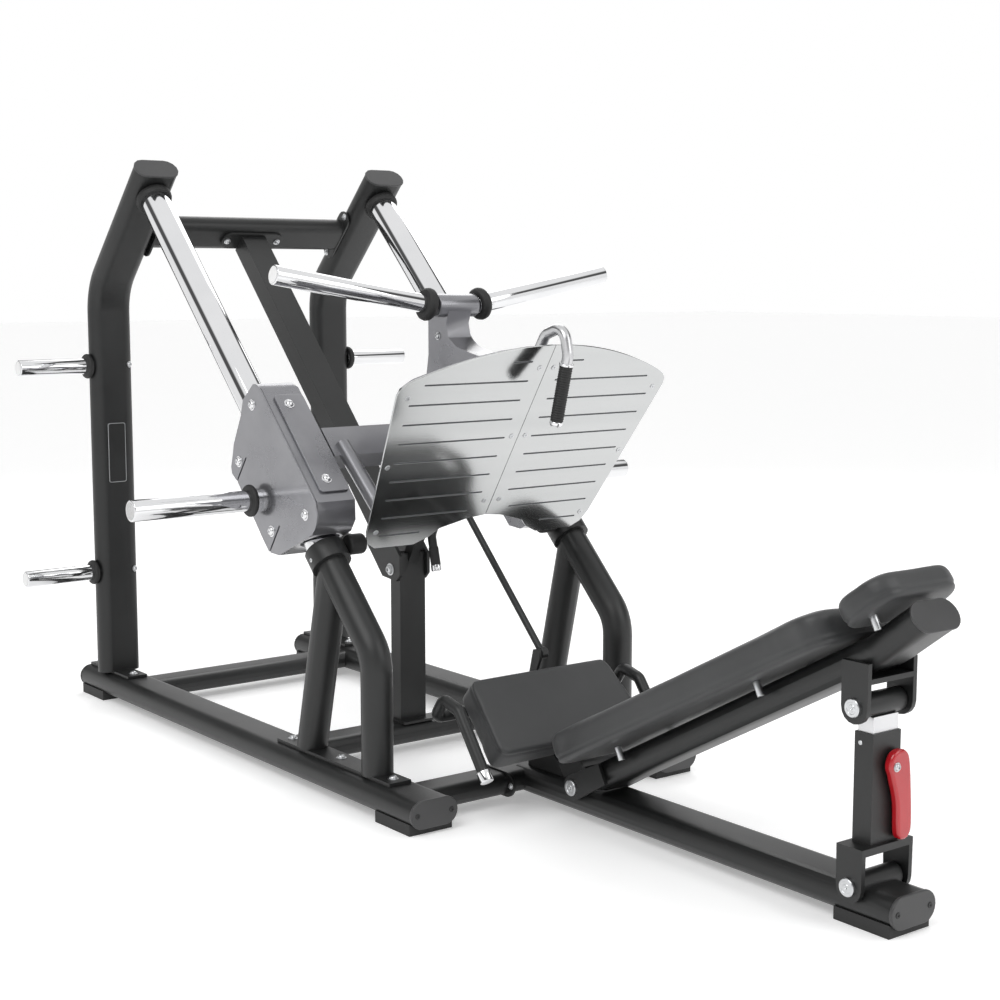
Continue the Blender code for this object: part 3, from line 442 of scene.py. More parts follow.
def rounded_path(points, radius, steps):
    points = [Vector(p) for p in points]
    path = [points[0]]
    for before, corner, after in zip(points, points[1:], points[2:]):
        back, ahead = (before - corner).normalized(), (after - corner).normalized()
        half = back.angle(ahead) / 2
        centre = corner + (back + ahead).normalized() * radius / math.sin(half)
        first = corner + back * radius / math.tan(half) - centre
        last = corner + ahead * radius / math.tan(half) - centre
        turn = first.rotation_difference(last)
        for step in range(steps + 1):
            path.append(centre + Matrix.Rotation(turn.angle * step / steps, 3, turn.axis) @ first)
    path.append(points[-1])
    return path


def tube(name, path, radius, paint, body, replaced=()):
    curve = bpy.data.curves.new(name, "CURVE")
    curve.dimensions = "3D"
    curve.bevel_depth = radius
    curve.bevel_resolution = 10
    curve.use_fill_caps = True
    spline = curve.splines.new("POLY")
    spline.points.add(len(path) - 1)
    for target, point in zip(spline.points, path):
        target.co = (*point, 1)
    holder = bpy.data.objects.new(name + "_guide", curve)
    bpy.context.scene.collection.objects.link(holder)
    bpy.context.view_layer.update()
    mesh = bpy.data.meshes.new_from_object(holder.evaluated_get(bpy.context.evaluated_depsgraph_get()))
    bpy.data.objects.remove(holder)
    shape = bmesh.new()
    shape.from_mesh(mesh)
    bmesh.ops.remove_doubles(shape, verts=shape.verts, dist=0.00001)
    return add(name, mesh_from(name, shape), paint, body, replaced, sharp=45)


def bolt(name, place, direction, radius, body, paint="zinc"):
    """A domed bolt head on a washer, with a socket in its middle."""
    washer, high, socket = 0.0016, radius * 0.62, radius * 0.36
    rim = radius * 1.28
    profile = [(-0.001, 0), (-0.001, rim), (washer * 0.8, rim), (washer, radius * 1.22), (washer, radius)]
    for step in range(1, 6):
        angle = math.pi / 2 * step / 6
        profile.append((washer + high * math.sin(angle), socket + (radius - socket) * math.cos(angle)))
    top = washer + high
    profile += [(top, socket), (top - high * 0.55, socket * 0.96), (top - high * 0.55, 0)]
    return turned(name, profile, place, direction, paint, body, steps=24)


def flat_screw(name, place, direction, radius, body, paint="frame_black"):
    profile = [(-0.001, 0), (-0.001, radius), (0.0008, radius), (0.0014, radius * 0.85)]
    profile += [(0.0014, radius * 0.4), (0.0003, radius * 0.36), (0.0003, 0)]
    return turned(name, profile, place, direction, paint, body, steps=20)


# ---- CAD nodes that stay ----


WIDE_EDGES = {"strut_outer": 0.0030, "strut_inner": 0.0020, "foot_seat_beam": 0.0030}


def finish_cad_nodes():
    slots = {entry["node"]: entry["material_slot"] for entry in frame["record"]["subparts"]}
    for name, node in frame["nodes"].items():
        if node.hide_render:
            continue
        mesh = node.data
        mesh.materials.clear()
        mesh.materials.append(PAINT[slots[name]])
        if "custom_normal" in mesh.attributes:
            mesh.attributes.remove(mesh.attributes["custom_normal"])
        for polygon in mesh.polygons:
            polygon.use_smooth = True
        weld = node.modifiers.new("weld", "WELD")
        weld.merge_threshold = 0.00002
        round_edges(node, WIDE_EDGES.get(name, 0.0010), 3 if name in WIDE_EDGES else 2)


# ---- base and uprights ----


def build_caps_and_feet():
    ends = [(f"rail_cap_{side}", RAIL_END, sign * SIDE_Y) for side, sign in SIDES]
    ends.append(("seat_beam_cap", SEAT_BEAM_END, 0.0))
    for name, x, y in ends:
        matrix = placement((0, 1, 0), (0, 0, 1), (1, 0, 0), to_world(x - 0.004, y, BASE_Z))
        prism(name + "_shell", obround(0.123, 0.063), 0.008, matrix, "cap_plastic", "root", (name,), 0.0022)
        for i, shift in enumerate((-CAP_SCREW_Y, CAP_SCREW_Y)):
            flat_screw(f"{name}_screw_{i}", to_world(x, y + shift, BASE_Z), (1, 0, 0), 0.0062, "root")
    for side, sign in SIDES:
        place = to_world(RAIL_REAR + 0.0015, sign * SIDE_Y, BASE_Z)
        matrix = placement((0, 1, 0), (0, 0, 1), (1, 0, 0), place)
        outline = obround(0.1215, 0.0615)
        prism(f"rail_rear_cap_{side}", outline, 0.003, matrix, "cap_plastic", "root", (), 0.0010)


def build_base_bolts():
    for side, sign in SIDES:
        for i, x in enumerate((-0.25, -0.034, 0.179)):
            place = to_world(x, sign * SIDE_Y, PLATE_TOP)
            bolt(f"aframe_bolt_{side}_{i}", place, (0, 0, 1), BASE_BOLT, "root")
        for i, x in enumerate((-1.305, -1.118)):
            place = to_world(x, sign * SIDE_Y, PLATE_TOP)
            bolt(f"upright_bolt_{side}_{i}", place, (0, 0, 1), BASE_BOLT, "root")
        y = sign * (CROSS_JOINT_Y + 0.006)
        matrix = placement((1, 0, 0), (0, 0, 1), (0, -1, 0), to_world(CROSS_FRONT_X, y, BASE_Z))
        prism(f"cross_flange_{side}", obround(0.134, 0.058), 0.007, matrix, "frame_black", "root", (), 0.001)
        for i, shift in enumerate((-0.057, 0.057)):
            place = to_world(CROSS_FRONT_X + shift, y + sign * 0.0035, BASE_Z)
            bolt(f"cross_bolt_{side}_{i}", place, (0, sign, 0), 0.0060, "root")


def build_upright_details():
    for side, sign in SIDES:
        for level, z in STORAGE_HEIGHTS:
            name = f"storage_horn_{level}_{side}"
            root = to_world(UPRIGHT_X, sign * UPRIGHT_FACE_Y, z)
            out = (0, sign, 0)
            length = STORAGE_TIP_Y - UPRIGHT_FACE_Y
            bar = rounded_bar_profile(length, STORAGE_RADIUS, 0.003)
            turned(name + "_bar", bar, root, out, "chrome", "root", (name,), 72)
            end = root + Vector(out) * (length - 0.0002)
            turned(name + "_end", rounded_bar_profile(0.0014, 0.0185, 0.0006), end, out, "white_cap", "root")
            collar = ring_profile(0.0222, 0.034, 0.015, 0.006)
            turned(name + "_ring", collar, root, out, "rubber", "root", (), 64)
            place = to_world(UPRIGHT_X + 0.0262, sign * (SIDE_Y - 0.0450), z + 0.003)
            bolt(name + "_through_bolt", place, (0.87, -sign * 0.5, 0), 0.0070, "root")
    badge = placement((0, 1, 0), (0, 0, 1), (1, 0, 0), to_world(UPRIGHT_X + 0.0308, -SIDE_Y, BADGE_HEIGHT))
    outline = rounded_rectangle(0.052, 0.165, 0.006)
    prism("blank_plate_rim", outline, 0.0016, badge, "plate_metal", "root", (), 0.0004)
    face = placement((0, 1, 0), (0, 0, 1), (1, 0, 0), to_world(UPRIGHT_X + 0.0314, -SIDE_Y, BADGE_HEIGHT))
    outline = rounded_rectangle(0.048, 0.161, 0.005)
    prism("blank_plate", outline, 0.0014, face, "frame_black", "root", (), 0.0004)


def build_top_tube_bolts():
    up_out = Vector((SLANT, 0, SLANT))
    for side, sign in SIDES:
        for i, shift in enumerate((-0.0700, 0.0700)):
            place = to_world(TOP_TUBE[0], sign * (SIDE_Y - 0.0663), TOP_TUBE[1]) + up_out * shift
            bolt(f"top_flange_bolt_{side}_{i}", place, (0, -sign, 0), TOP_BOLT, "root")
    away = Vector((SLANT, 0, -SLANT))
    face = to_world(TOP_TUBE[0], 0, TOP_TUBE[1]) + away * (0.025 + 0.0003 + 0.008)
    for i, y in enumerate((-0.078, 0.078)):
        bolt(f"spine_flange_bolt_{i}", face + Vector((0, y, 0)), away, TOP_BOLT, "root")
    for side, sign in SIDES:
        bolt(f"gusset_bolt_{side}", to_world(-0.287, sign * 0.046, 0.459), (0, sign, 0), 0.012, "root")


def build_rods():
    axis = Vector((SLANT, 0, -SLANT))
    for side, sign in SIDES:
        y = sign * SIDE_Y
        start = slanted(ROD_TOP, ROD_OUT, y)
        length = ROD_END - ROD_TOP
        profile = rounded_bar_profile(length, ROD_RADIUS, 0.0015)
        turned(f"guide_rod_{side}_bar", profile, start, axis, "chrome", "root", (f"guide_rod_{side}",), 96)
        stop = slanted(ROD_TOP + 0.002, ROD_OUT, y)
        ring = ring_profile(0.0382, 0.0475, 0.022, 0.005)
        turned(f"rod_stop_{side}", ring, stop, axis, "rubber", "root", (), 72)
        place = slanted(-0.440, ROD_OUT, y) + Vector((0, sign * 0.0470, 0))
        flat_screw(f"collar_screw_{side}", place, (0, sign, 0), 0.0050, "root", "zinc")
        inner = to_world(BUMPER[0], sign * 0.262, BUMPER[1])
        profile = rounded_bar_profile(0.045, 0.024, 0.007)
        turned(f"bumper_{side}_knob", profile, inner, (0, sign, 0), "rubber", "root", (f"bumper_{side}",), 48)


# ---- carriage ----


SIDE_SHEET = (
    (-0.852, 0.4510), (-0.874, 0.4470), (-0.885, 0.4356), (-0.892, 0.3727), (-0.873, 0.3373), (-0.849, 0.261),
    (-0.831, 0.231), (-0.820, 0.211), (-0.806, 0.202), (-0.779, 0.207), (-0.7895, 0.281), (-0.7870, 0.285),
    (-0.7845, 0.282), (-0.7745, 0.2085), (-0.596, 0.2026), (-0.5640, 0.2035), (-0.5780, 0.284),
    (-0.5755, 0.288), (-0.5730, 0.285), (-0.5595, 0.206), (-0.530, 0.233), (-0.471, 0.386), (-0.471, 0.404),
    (-0.477, 0.420), (-0.490, 0.438), (-0.511, 0.449), (-0.530, 0.4510),
)  # (down, out) round the side plate, with two open slots at its back edge


def build_side_sheets():
    corners = [slanted(down, out) + Vector((BOX_SHIFT, 0, 0)) for down, out in SIDE_SHEET]
    outline = [(corner.x, corner.z) for corner in corners]
    for side, sign in SIDES:
        stand = side_on(sign * (BOX_Y[1] + SIDE_SHEET_THICK / 2))
        name = f"box_sheet_{side}"
        prism(name, outline, SIDE_SHEET_THICK, stand, "carriage_silver", "carriage", (), 0.0011)


def build_carriage_details():
    front = Vector((SLANT, 0, SLANT))
    for side, sign in SIDES:
        for i, (down, out) in enumerate(BOX_BOLTS):
            place = slanted(down, out, sign * (BOX_Y[1] + SIDE_SHEET_THICK))
            bolt(f"box_bolt_{side}_{i}", place, (0, sign, 0), 0.0105, "carriage", "chrome")
        root = to_world(HORN[0], sign * (BOX_Y[1] + 0.0003), HORN[1])
        length = HORN_END_Y - BOX_Y[1] - 0.0003
        name = f"carriage_horn_{side}"
        profile = rounded_bar_profile(length, HORN_RADIUS, 0.003)
        turned(name + "_bar", profile, root, (0, sign, 0), "chrome", "carriage", (name,), 80)
        end = root + Vector((0, sign * (length - 0.0008), 0))
        disc = rounded_bar_profile(0.0008, 0.0212, 0.0003)
        turned(name + "_end", disc, end, (0, sign, 0), "white_cap", "carriage")
        sleeve = rounded_bar_profile(0.024, 0.028, 0.002)
        turned(name + "_sleeve", sleeve, root, (0, sign, 0), "chrome", "carriage", (), 56)
        ring = root + Vector((0, sign * 0.020, 0))
        profile = ring_profile(0.0252, 0.0385, 0.013, 0.006)
        turned(name + "_ring", profile, ring, (0, sign, 0), "rubber", "carriage", (), 64)
        along = Vector((SLANT, 0, -SLANT))
        middle = slanted(-0.683, 0.4515 + 0.003, sign * 0.347)
        outline = rounded_rectangle(0.294, 0.078, 0.010)
        matrix = placement(along, (0, 1, 0), along.cross(Vector((0, 1, 0))), middle)
        prism(f"front_flange_{side}", outline, 0.006, matrix, "carriage_silver", "carriage", (), 0.0012)
        for i, down in enumerate((-0.800, -0.572)):
            place = slanted(down, 0.4575, sign * 0.356)
            bolt(f"front_bolt_{side}_{i}", place, front, 0.0100, "carriage", "chrome")


def build_top_hub():
    left = to_world(HUB[0], -0.057, HUB[1])
    profile = rounded_bar_profile(0.114, 0.0275, 0.003)
    turned("top_hub_bar", profile, left, (0, 1, 0), "carriage_silver", "carriage", ("top_hub",), 64)
    for side, sign in SIDES:
        root, tip = TOP_HORN_ROOT.copy(), TOP_HORN_TIP.copy()
        root.y *= sign
        tip.y *= sign
        root, tip = to_world(*root), to_world(*tip)
        along = (tip - root).normalized()
        length = (tip - root).length
        name = f"top_horn_{side}"
        profile = rounded_bar_profile(length, TOP_HORN_RADIUS, 0.003)
        turned(name + "_bar", profile, root, along, "chrome", "carriage", (name,), 72)
        end = root + along * (length - 0.0002)
        disc = rounded_bar_profile(0.0014, 0.0188, 0.0006)
        turned(name + "_end", disc, end, along, "white_cap", "carriage")
        ring = ring_profile(0.0228, 0.039, 0.026, 0.011)
        turned(name + "_ring", ring, root, along, "rubber", "carriage", (), 64)
    x, y, z = MAST_BOLT
    bolt("mast_bolt", to_world(x, -y, z), (0, -1, 0), 0.0075, "carriage")
    bolt("mast_bolt_far", to_world(x, y, z), (0, 1, 0), 0.0075, "carriage")


def skin_outline():
    """Half of the foot plate as (y, up): arched top, big outer corner, tapering side and notched foot."""
    points = []
    for step in range(15):
        y = 0.0006 + 0.345 * step / 14
        points.append((y, 0.515 - 0.66 * y * y))
    points += [(0.366, 0.424), (0.377, 0.412), (0.380, 0.395)]
    points += [(0.3249, 0.012), (0.313, -0.018), (0.288, -0.036)]
    points += [(0.180, -0.037), (0.142, -0.017), (0.121, 0.005), (0.048, 0.028), (0.0006, 0.034)]
    return points


def groove_cutter(side, sign, matrix):
    """One mesh of all the half's grooves, sunk into the skin's front."""
    outer_ends = (0.288, 0.300, 0.307, 0.315, 0.322, 0.329, 0.337, 0.340, 0.318)
    inner_ends = {0: 0.176, 1: 0.061}
    shape = bmesh.new()
    spans = [(i * GROOVE_STEP, inner_ends.get(i, 0.038), outer) for i, outer in enumerate(outer_ends)]
    spans.append((9 * GROOVE_STEP, 0.047, 0.100))
    for up, inner, outer in spans:
        middle = sign * (inner + outer) / 2
        outline = [(x + middle, y + up) for x, y in obround(outer - inner, GROOVE_WIDE, 5)]
        low = [shape.verts.new((x, y, -SKIN_THICK / 2 - 0.002)) for x, y in outline]
        high = [shape.verts.new((x, y, -SKIN_THICK / 2 + GROOVE_DEEP)) for x, y in outline]
        shape.faces.new(low)
        shape.faces.new(high)
        for i in range(len(outline)):
            after = (i + 1) % len(outline)
            shape.faces.new((low[i], low[after], high[after], high[i]))
    mesh = mesh_from(f"groove_cutter_{side}", shape)
    # The cut faces take this darker metal, which is painted shade in the grooves
    mesh.materials.append(PAINT["groove_painted_shade"])
    cutter = bpy.data.objects.new(f"groove_cutter_{side}", mesh)
    bpy.context.scene.collection.objects.link(cutter)
    cutter.matrix_world = matrix
    return cutter


def build_skins():
    matrix = placement((0, 1, 0), PLATE_UP, -PLATE_OFF, on_plate(0, -SKIN_THICK / 2))
    for side, sign in SIDES:
        outline = [(sign * y, up) for y, up in skin_outline()]
        name = f"foot_skin_{side}"
        skin = prism(name + "_sheet", outline, SKIN_THICK, matrix, "stainless", "carriage", (name,), 0)
        # Second slot for the groove faces' darker metal, which is painted shade
        skin.data.materials.append(PAINT["groove_painted_shade"])
        cutter = groove_cutter(side, sign, matrix)
        step = skin.modifiers.new("grooves", "BOOLEAN")
        step.operation = "DIFFERENCE"
        step.solver = "EXACT"
        step.material_mode = "TRANSFER"
        step.object = cutter
        bpy.context.view_layer.update()
        graph = bpy.context.evaluated_depsgraph_get()
        cut = bpy.data.meshes.new_from_object(skin.evaluated_get(graph))
        skin.modifiers.clear()
        skin.data = cut
        bpy.data.objects.remove(cutter)
        round_edges(skin, 0.0004)
        for i, (up, y) in enumerate(SKIN_SCREWS):
            place = on_plate(up, 0.0, sign * y)
            flat_screw(f"skin_screw_{side}_{i}", place, PLATE_OFF, 0.0065, "carriage", "zinc")


def build_plate_handle():
    bends = ((0.4335, -0.045), (0.515, -0.043), (0.566, 0.0), (0.520, 0.046), (0.365, 0.096))
    path = [on_plate(up, off) for up, off in bends]
    tube("plate_handle_tube", rounded_path(path, 0.030, 12), 0.0125, "satin", "carriage", ("plate_handle",))
    start, end = path[3], path[4]
    along = (end - start).normalized()
    ring = start + along * 0.018
    profile = rounded_bar_profile(0.006, 0.0165, 0.0015)
    turned("handle_ring", profile, ring, along, "chrome", "carriage", (), 48)
    grip = start + along * 0.025
    length = (end - grip).length - 0.012
    ribs = [(0, 0), (0, 0.0128), (0.001, 0.0150)]
    count = 22
    for i in range(count * 4):
        at = 0.002 + (length - 0.004) * i / (count * 4)
        ribs.append((at, 0.0146 + 0.0007 * math.sin(math.pi / 2 * i)))
    ribs += [(length - 0.001, 0.0150), (length, 0.0128), (length, 0)]
    turned("handle_grip", ribs, grip, along, "rubber", "carriage", (), 40)
    end_cap = grip + along * length
    profile = rounded_bar_profile(0.010, 0.0148, 0.003)
    turned("handle_end", profile, end_cap, along, "chrome", "carriage", (), 48)


# ---- release ----


def build_release():
    path = [to_world(x, -HANDLE_Y, z) for x, z in HANDLE_BENDS]
    path += [to_world(x, HANDLE_Y, z) for x, z in reversed(HANDLE_BENDS)]
    body = "release_shaft"
    tube("release_tube", rounded_path(path, 0.020, 8), 0.0135, "frame_black", body, ("release_handles",))
    for side, sign in SIDES:
        tip, bend = (to_world(x, sign * HANDLE_Y, z) for x, z in HANDLE_BENDS[:2])
        along = (tip - bend).normalized()
        profile = rounded_bar_profile(0.026, 0.0158, 0.003)
        turned(f"release_end_{side}", profile, tip - along * 0.023, along, "chrome", body, (), 40)
    arm = [(0.206, 0.207), (0.166, 0.246), (0.186, 0.326), (0.208, 0.330), (0.212, 0.308)]
    arm += [(0.190, 0.256), (0.220, 0.222)]
    prism("release_arm", arm, 0.008, side_on(LEVER_MIDDLE_Y), "frame_black", body, (), 0.001)
    for i, (x, z) in enumerate(((0.194, 0.211), (0.230, 0.220))):
        for side, sign in SIDES:
            place = to_world(x + 0.024, sign * 0.1145, z - 0.020)
            bolt(f"lug_bolt_{side}_{i}", place, (0, sign, 0), 0.0050, "root")
    reach = Vector(LEVER_PIN) - Vector(SHAFT)
    far = Vector(CATCH_PIVOT) + reach
    near_end = to_world(LEVER_PIN[0], LINK_Y, LEVER_PIN[1])
    far_end = to_world(far.x, LINK_Y, far.y)
    along = (far_end - near_end).normalized()
    length = (far_end - near_end).length
    profile = rounded_bar_profile(length - 0.020, 0.008, 0.001, 0.010)
    turned("link_rod_bar", profile, near_end, along, "frame_black", "link", ("link_rod",), 40)
    for i, place in enumerate((near_end, far_end)):
        eye = [(-0.0085, 0), (-0.0085, 0.013), (-0.0075, 0.014)]
        eye += [(0.0075, 0.014), (0.0085, 0.013), (0.0085, 0)]
        turned(f"link_eye_{i}", eye, place, (0, 1, 0), "frame_black", "link", (), 40)
        bolt(f"link_bolt_{i}", place + Vector((0, 0.0086, 0)), (0, 1, 0), 0.0065, "link")
    stub_end = to_world(-0.203, LEVER_MIDDLE_Y, 0.458)
    above = to_world(-0.225, LEVER_MIDDLE_Y, 0.545)
    along = (stub_end - above).normalized()
    tip = rounded_bar_profile(0.017, 0.0130, 0.003)
    turned("stub_end", tip, stub_end - along * 0.0165, along, "chrome", "catch", (), 36)
    sleeve = rounded_bar_profile(0.050, 0.0124, 0.002)
    turned("stub_grip", sleeve, stub_end - along * 0.0605, along, "rubber", "catch", (), 36)


# ---- backrest and strut ----


def build_pins():
    ends = (("strut_pin", STRUT_X, STRUT_FOOT_Z, "strut_outer"), ("back_pin", *BACK_PIVOT, "backrest"))
    for name, x, z, body in ends:
        for side, sign in SIDES:
            replaced = (name,) if sign < 0 else ()
            pin_head(f"{name}_head_{side}", to_world(x, sign * PIN_HEAD_Y, z), sign, body, replaced)
    for side, sign in SIDES:
        place = to_world(STRUT_X, sign * TOP_PIN_HEAD_Y, STRUT_TOP_Z)
        pin_head(f"top_pin_head_{side}", place, sign, "backrest", ())


def pin_head(name, place, sign, body, replaced):
    profile = [(0, 0), (0, 0.0175), (0.0055, 0.0175), (0.0070, 0.0162), (0.0070, 0.0115), (0.0062, 0.0108)]
    profile += [(0.0062, 0.0068), (0.0070, 0.0060), (0.0070, 0.0030), (0.0048, 0.0004), (0.0048, 0)]
    turned(name, profile, place, (0, sign, 0), "zinc", body, replaced, 48)


def build_strut_details():
    centre = to_world(*LEVER_PIVOT)
    outline = [(-0.012, 0.300), (-0.004, 0.322), (0.012, 0.330), (0.032, 0.326), (0.044, 0.300)]
    outline += [(0.052, 0.195), (0.046, 0.165), (0.028, 0.158), (0.014, 0.172), (0.010, 0.230)]
    outline += [(-0.004, 0.278)]
    curve = smooth_outline(outline, 6)
    matrix = placement((0, 1, 0), (0, 0, 1), (1, 0, 0), (centre.x, 0, 0))
    lever = prism("red_lever", curve, 0.018, matrix, "lever_red", "strut_lever", ("strut_lever",), 0)
    round_edges(lever, 0.0055, 4)
    bolt("lever_bolt", centre + Vector((0.009, 0, 0)), (1, 0, 0), 0.0070, "strut_lever")
    sleeve = rounded_bar_profile(0.1068, 0.0229, 0.0015)
    start = to_world(STRUT_X, -0.0534, STRUT_TOP_Z)
    turned("strut_bush_cover", sleeve, start, (0, 1, 0), "frame_black", "strut_inner", (), 56)
    place = to_world(STRUT_X - 0.008, -0.0380, 0.342)
    flat_screw("strut_side_screw", place, (0, -1, 0), 0.0045, "strut_outer", "zinc")


def build_beam_cap():
    low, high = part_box("back_beam_cap")
    centre = (low + high) / 2
    ahead = Vector((0.100, 0, 0.075)).normalized()
    matrix = placement((0, 1, 0), ahead.cross(Vector((0, 1, 0))), ahead, centre)
    outline, replaced = obround(0.123, 0.063), ("back_beam_cap",)
    prism("back_beam_cap_shell", outline, 0.006, matrix, "cap_plastic", "backrest", replaced, 0.002)


def build_pad_bolts():
    up = Vector((-math.sin(PAD_BOLT_TILT), 0, math.cos(PAD_BOLT_TILT)))
    profile = rounded_bar_profile(0.030, 0.0075, 0.001)
    for i, (x, z) in enumerate(PAD_BOLTS):
        for side, sign in SIDES:
            place = to_world(x, sign * 0.080, z)
            turned(f"pad_bolt_{i}_{side}", profile, place - up * 0.008, up, "zinc", "backrest", (), 28)


# ---- upholstery ----


def box_of_pad(half_low, half_high, long, thick, corner):
    """A plain slab in the pad's outline, which is round at its corners."""
    shape = bmesh.new()
    corners = ((half_low, -long / 2), (half_high, long / 2), (-half_high, long / 2), (-half_low, -long / 2))
    outline = []
    count = len(corners)
    for i in range(count):
        before, here, after = (Vector((*corners[j % count], 0)) for j in (i - 1, i, i + 1))
        arc = rounded_path((here.lerp(before, 0.5), here, here.lerp(after, 0.5)), corner, 8)
        outline += [(p.x, p.y) for p in arc[1:-1]]
    low = [shape.verts.new((x, y, -thick / 2)) for x, y in outline]
    high = [shape.verts.new((x, y, thick / 2)) for x, y in outline]
    shape.faces.new(low)
    shape.faces.new(high)
    for i in range(len(outline)):
        after = (i + 1) % len(outline)
        shape.faces.new((low[i], low[after], high[after], high[i]))
    return shape


def apply_modifiers(obj):
    bpy.context.view_layer.update()
    graph = bpy.context.evaluated_depsgraph_get()
    mesh = bpy.data.meshes.new_from_object(obj.evaluated_get(graph))
    obj.modifiers.clear()
    obj.data = mesh


def inflate(obj, thick, cap):
    """Blows the cover up with a cloth simulation, holding the side that lies on its board.
    A point's move levels off smoothly towards the cap, as firm foam under the cover would hold it."""
    base = [vertex.co.copy() for vertex in obj.data.vertices]
    held = obj.vertex_groups.new(name="board")
    held.add([v.index for v in obj.data.vertices if v.co.z < -thick / 2 + 0.004], 1.0, "REPLACE")
    cloth = obj.modifiers.new("cloth", "CLOTH")
    cloth.settings.use_pressure = True
    cloth.settings.uniform_pressure_force = PRESSURE
    cloth.settings.effector_weights.gravity = 0.0
    cloth.settings.vertex_group_mass = "board"
    cloth.settings.tension_stiffness = 40
    cloth.settings.compression_stiffness = 40
    cloth.settings.shear_stiffness = 20
    cloth.settings.bending_stiffness = 4.0
    cloth.point_cache.frame_start = 1
    cloth.point_cache.frame_end = SWELL_FRAMES
    for step in range(1, SWELL_FRAMES + 1):
        bpy.context.scene.frame_set(step)
    apply_modifiers(obj)
    bpy.context.scene.frame_set(1)
    for vertex, rest in zip(obj.data.vertices, base):
        move = vertex.co - rest
        if move.length > 0:
            reach = math.tanh(move.length / (cap * FOAM_GIVE))
            vertex.co = rest + move.normalized() * cap * reach


def seam(obj, height, deep=0.0022, wide=0.0035):
    """Presses a seam into the sides at that height, running right round the pad."""
    normals = [Vector((v.normal.x, v.normal.y, 0)) for v in obj.data.vertices]
    for vertex, flat in zip(obj.data.vertices, normals):
        if flat.length > 0.35:
            reach = math.exp(-(((vertex.co.z - height) / wide) ** 2))
            vertex.co -= flat.normalized() * deep * reach
    obj.data.update()


def soft_pad(
    name, node, body, half_low, half_high, long, thick, corner, centre, tilt, edge=0.016, cap=0.008
):
    """A pad that starts a little small, is blown up, then smoothed, and has its seam pressed in."""
    shrink = cap * 0.45
    shape = box_of_pad(half_low - shrink, half_high - shrink, long - 2 * shrink, thick - shrink, corner)
    mesh = mesh_from(name, shape)
    obj = bpy.data.objects.new(name, mesh)
    bpy.context.scene.collection.objects.link(obj)
    soften = obj.modifiers.new("soften", "BEVEL")
    soften.width = edge
    soften.segments = 4
    soften.limit_method = "ANGLE"
    soften.angle_limit = math.radians(50)
    remesh = obj.modifiers.new("remesh", "REMESH")
    remesh.mode = "VOXEL"
    remesh.voxel_size = VOXEL
    apply_modifiers(obj)
    inflate(obj, thick - shrink, cap)
    even = obj.modifiers.new("even", "SMOOTH")
    even.factor = 0.5
    even.iterations = 5
    fine = obj.modifiers.new("fine", "SUBSURF")
    fine.levels = fine.render_levels = 1
    apply_modifiers(obj)
    seam(obj, -thick / 2 + 0.016)
    up = Vector((math.cos(tilt), 0, math.sin(tilt)))
    out = Vector((-math.sin(tilt), 0, math.cos(tilt)))
    obj.matrix_world = placement((0, -1, 0), up, out, to_world(centre[0], 0, centre[1]))
    obj.data.materials.clear()
    obj.data.materials.append(PAINT["pad_vinyl"])
    for polygon in obj.data.polygons:
        polygon.use_smooth = True
    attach(obj, body)
    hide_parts(node)


def build_pads():
    soft_pad(
        "seat_cushion", "seat_pad", "root", 0.220, 0.200, 0.204, 0.072, 0.020,
        SEAT_CENTRE, SEAT_TILT, edge=0.007,
    )
    up = Vector((math.cos(BACK_TILT), math.sin(BACK_TILT)))
    out = Vector((-up.y, up.x))
    centre = BACK_START + up * BACK_LONG / 2 - out * BACK_THICK / 2
    soft_pad(
        "back_cushion", "back_pad", "backrest", 0.145, 0.145, BACK_LONG, BACK_THICK, 0.050,
        centre, BACK_TILT,
    )
    soft_pad(
        "head_cushion", "head_pad", "backrest", 0.130, 0.110, 0.140, 0.058, 0.050,
        HEAD_CENTRE, HEAD_TILT,
    )


# ---- studio ----


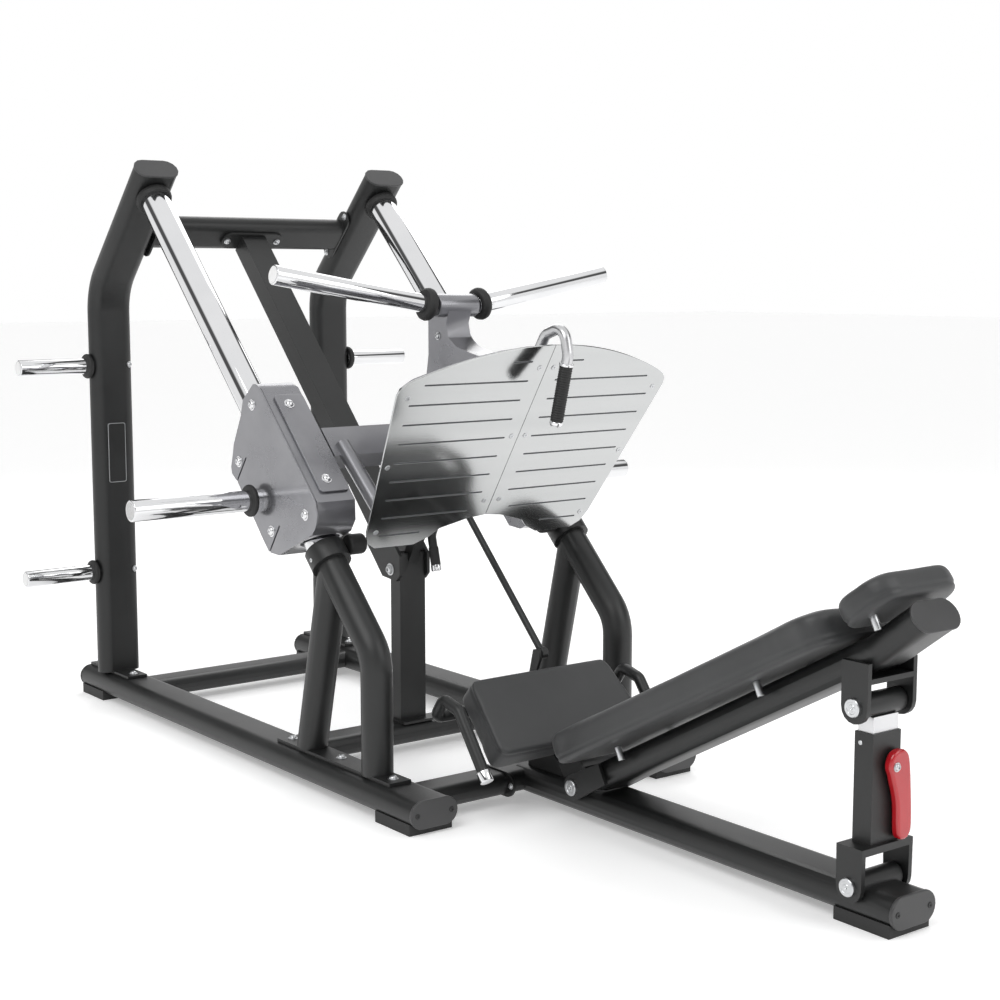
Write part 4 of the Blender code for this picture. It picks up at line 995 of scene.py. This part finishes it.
def paint_sky(tree):
    """White up to a little above the horizon, a dark band like a studio's walls, and a bright ceiling."""
    place = tree.nodes.new("ShaderNodeTexCoord")
    parts = tree.nodes.new("ShaderNodeSeparateXYZ")
    tree.links.new(place.outputs["Generated"], parts.inputs["Vector"])
    spread = tree.nodes.new("ShaderNodeValToRGB")
    bands = ((0.0, 1.0), (0.27, 1.0), (0.34, 0.10), (0.56, 0.10), (0.66, 1.0), (1.0, 1.0))
    stops = spread.color_ramp.elements
    stops[0].position, stops[0].color = bands[0][0], (1, 1, 1, 1)
    stops[1].position, stops[1].color = bands[-1][0], (1, 1, 1, 1)
    for at, grey in bands[1:-1]:
        stops.new(at).color = (grey, grey, grey, 1)
    tree.links.new(parts.outputs["Z"], spread.inputs["Fac"])
    sky = tree.nodes["Background"]
    sky.inputs["Strength"].default_value = 1.0
    tree.links.new(spread.outputs["Color"], sky.inputs["Color"])


def build_studio():
    shape = bmesh.new()
    bmesh.ops.create_grid(shape, x_segments=8, y_segments=8, size=FLOOR_HALF)
    mesh = mesh_from("floor", shape)
    mesh.materials.append(PAINT["floor"])
    floor = bpy.data.objects.new("floor", mesh)
    bpy.context.scene.collection.objects.link(floor)
    world = bpy.data.worlds.new("studio")
    bpy.context.scene.world = world
    world.use_nodes = True
    paint_sky(world.node_tree)
    for name, place, size, power in LIGHTS:
        light = bpy.data.lights.new(name, "AREA")
        light.size = size
        light.energy = power
        holder = bpy.data.objects.new(name, light)
        holder.location = place
        holder.rotation_euler = (LIT_POINT - Vector(place)).to_track_quat("-Z", "Y").to_euler()
        bpy.context.scene.collection.objects.link(holder)


def build_camera():
    camera = bpy.data.cameras.new("camera")
    camera.lens = CAMERA_LENS
    camera.sensor_width = SENSOR_WIDE
    camera.clip_end = 200
    holder = bpy.data.objects.new("camera", camera)
    holder.location = to_world(*CAMERA_PLACE)
    holder.rotation_euler = CAMERA_VIEW.to_track_quat("-Z", "Y").to_euler()
    bpy.context.scene.collection.objects.link(holder)
    bpy.context.scene.camera = holder


build_camera()
build_studio()
build_caps_and_feet()
build_base_bolts()
build_upright_details()
build_top_tube_bolts()
build_rods()
build_side_sheets()
build_carriage_details()
build_top_hub()
build_skins()
build_plate_handle()
build_release()
build_pins()
build_strut_details()
build_beam_cap()
build_pad_bolts()
build_pads()
finish_cad_nodes()
bpy.context.scene.view_settings.view_transform = "Standard"
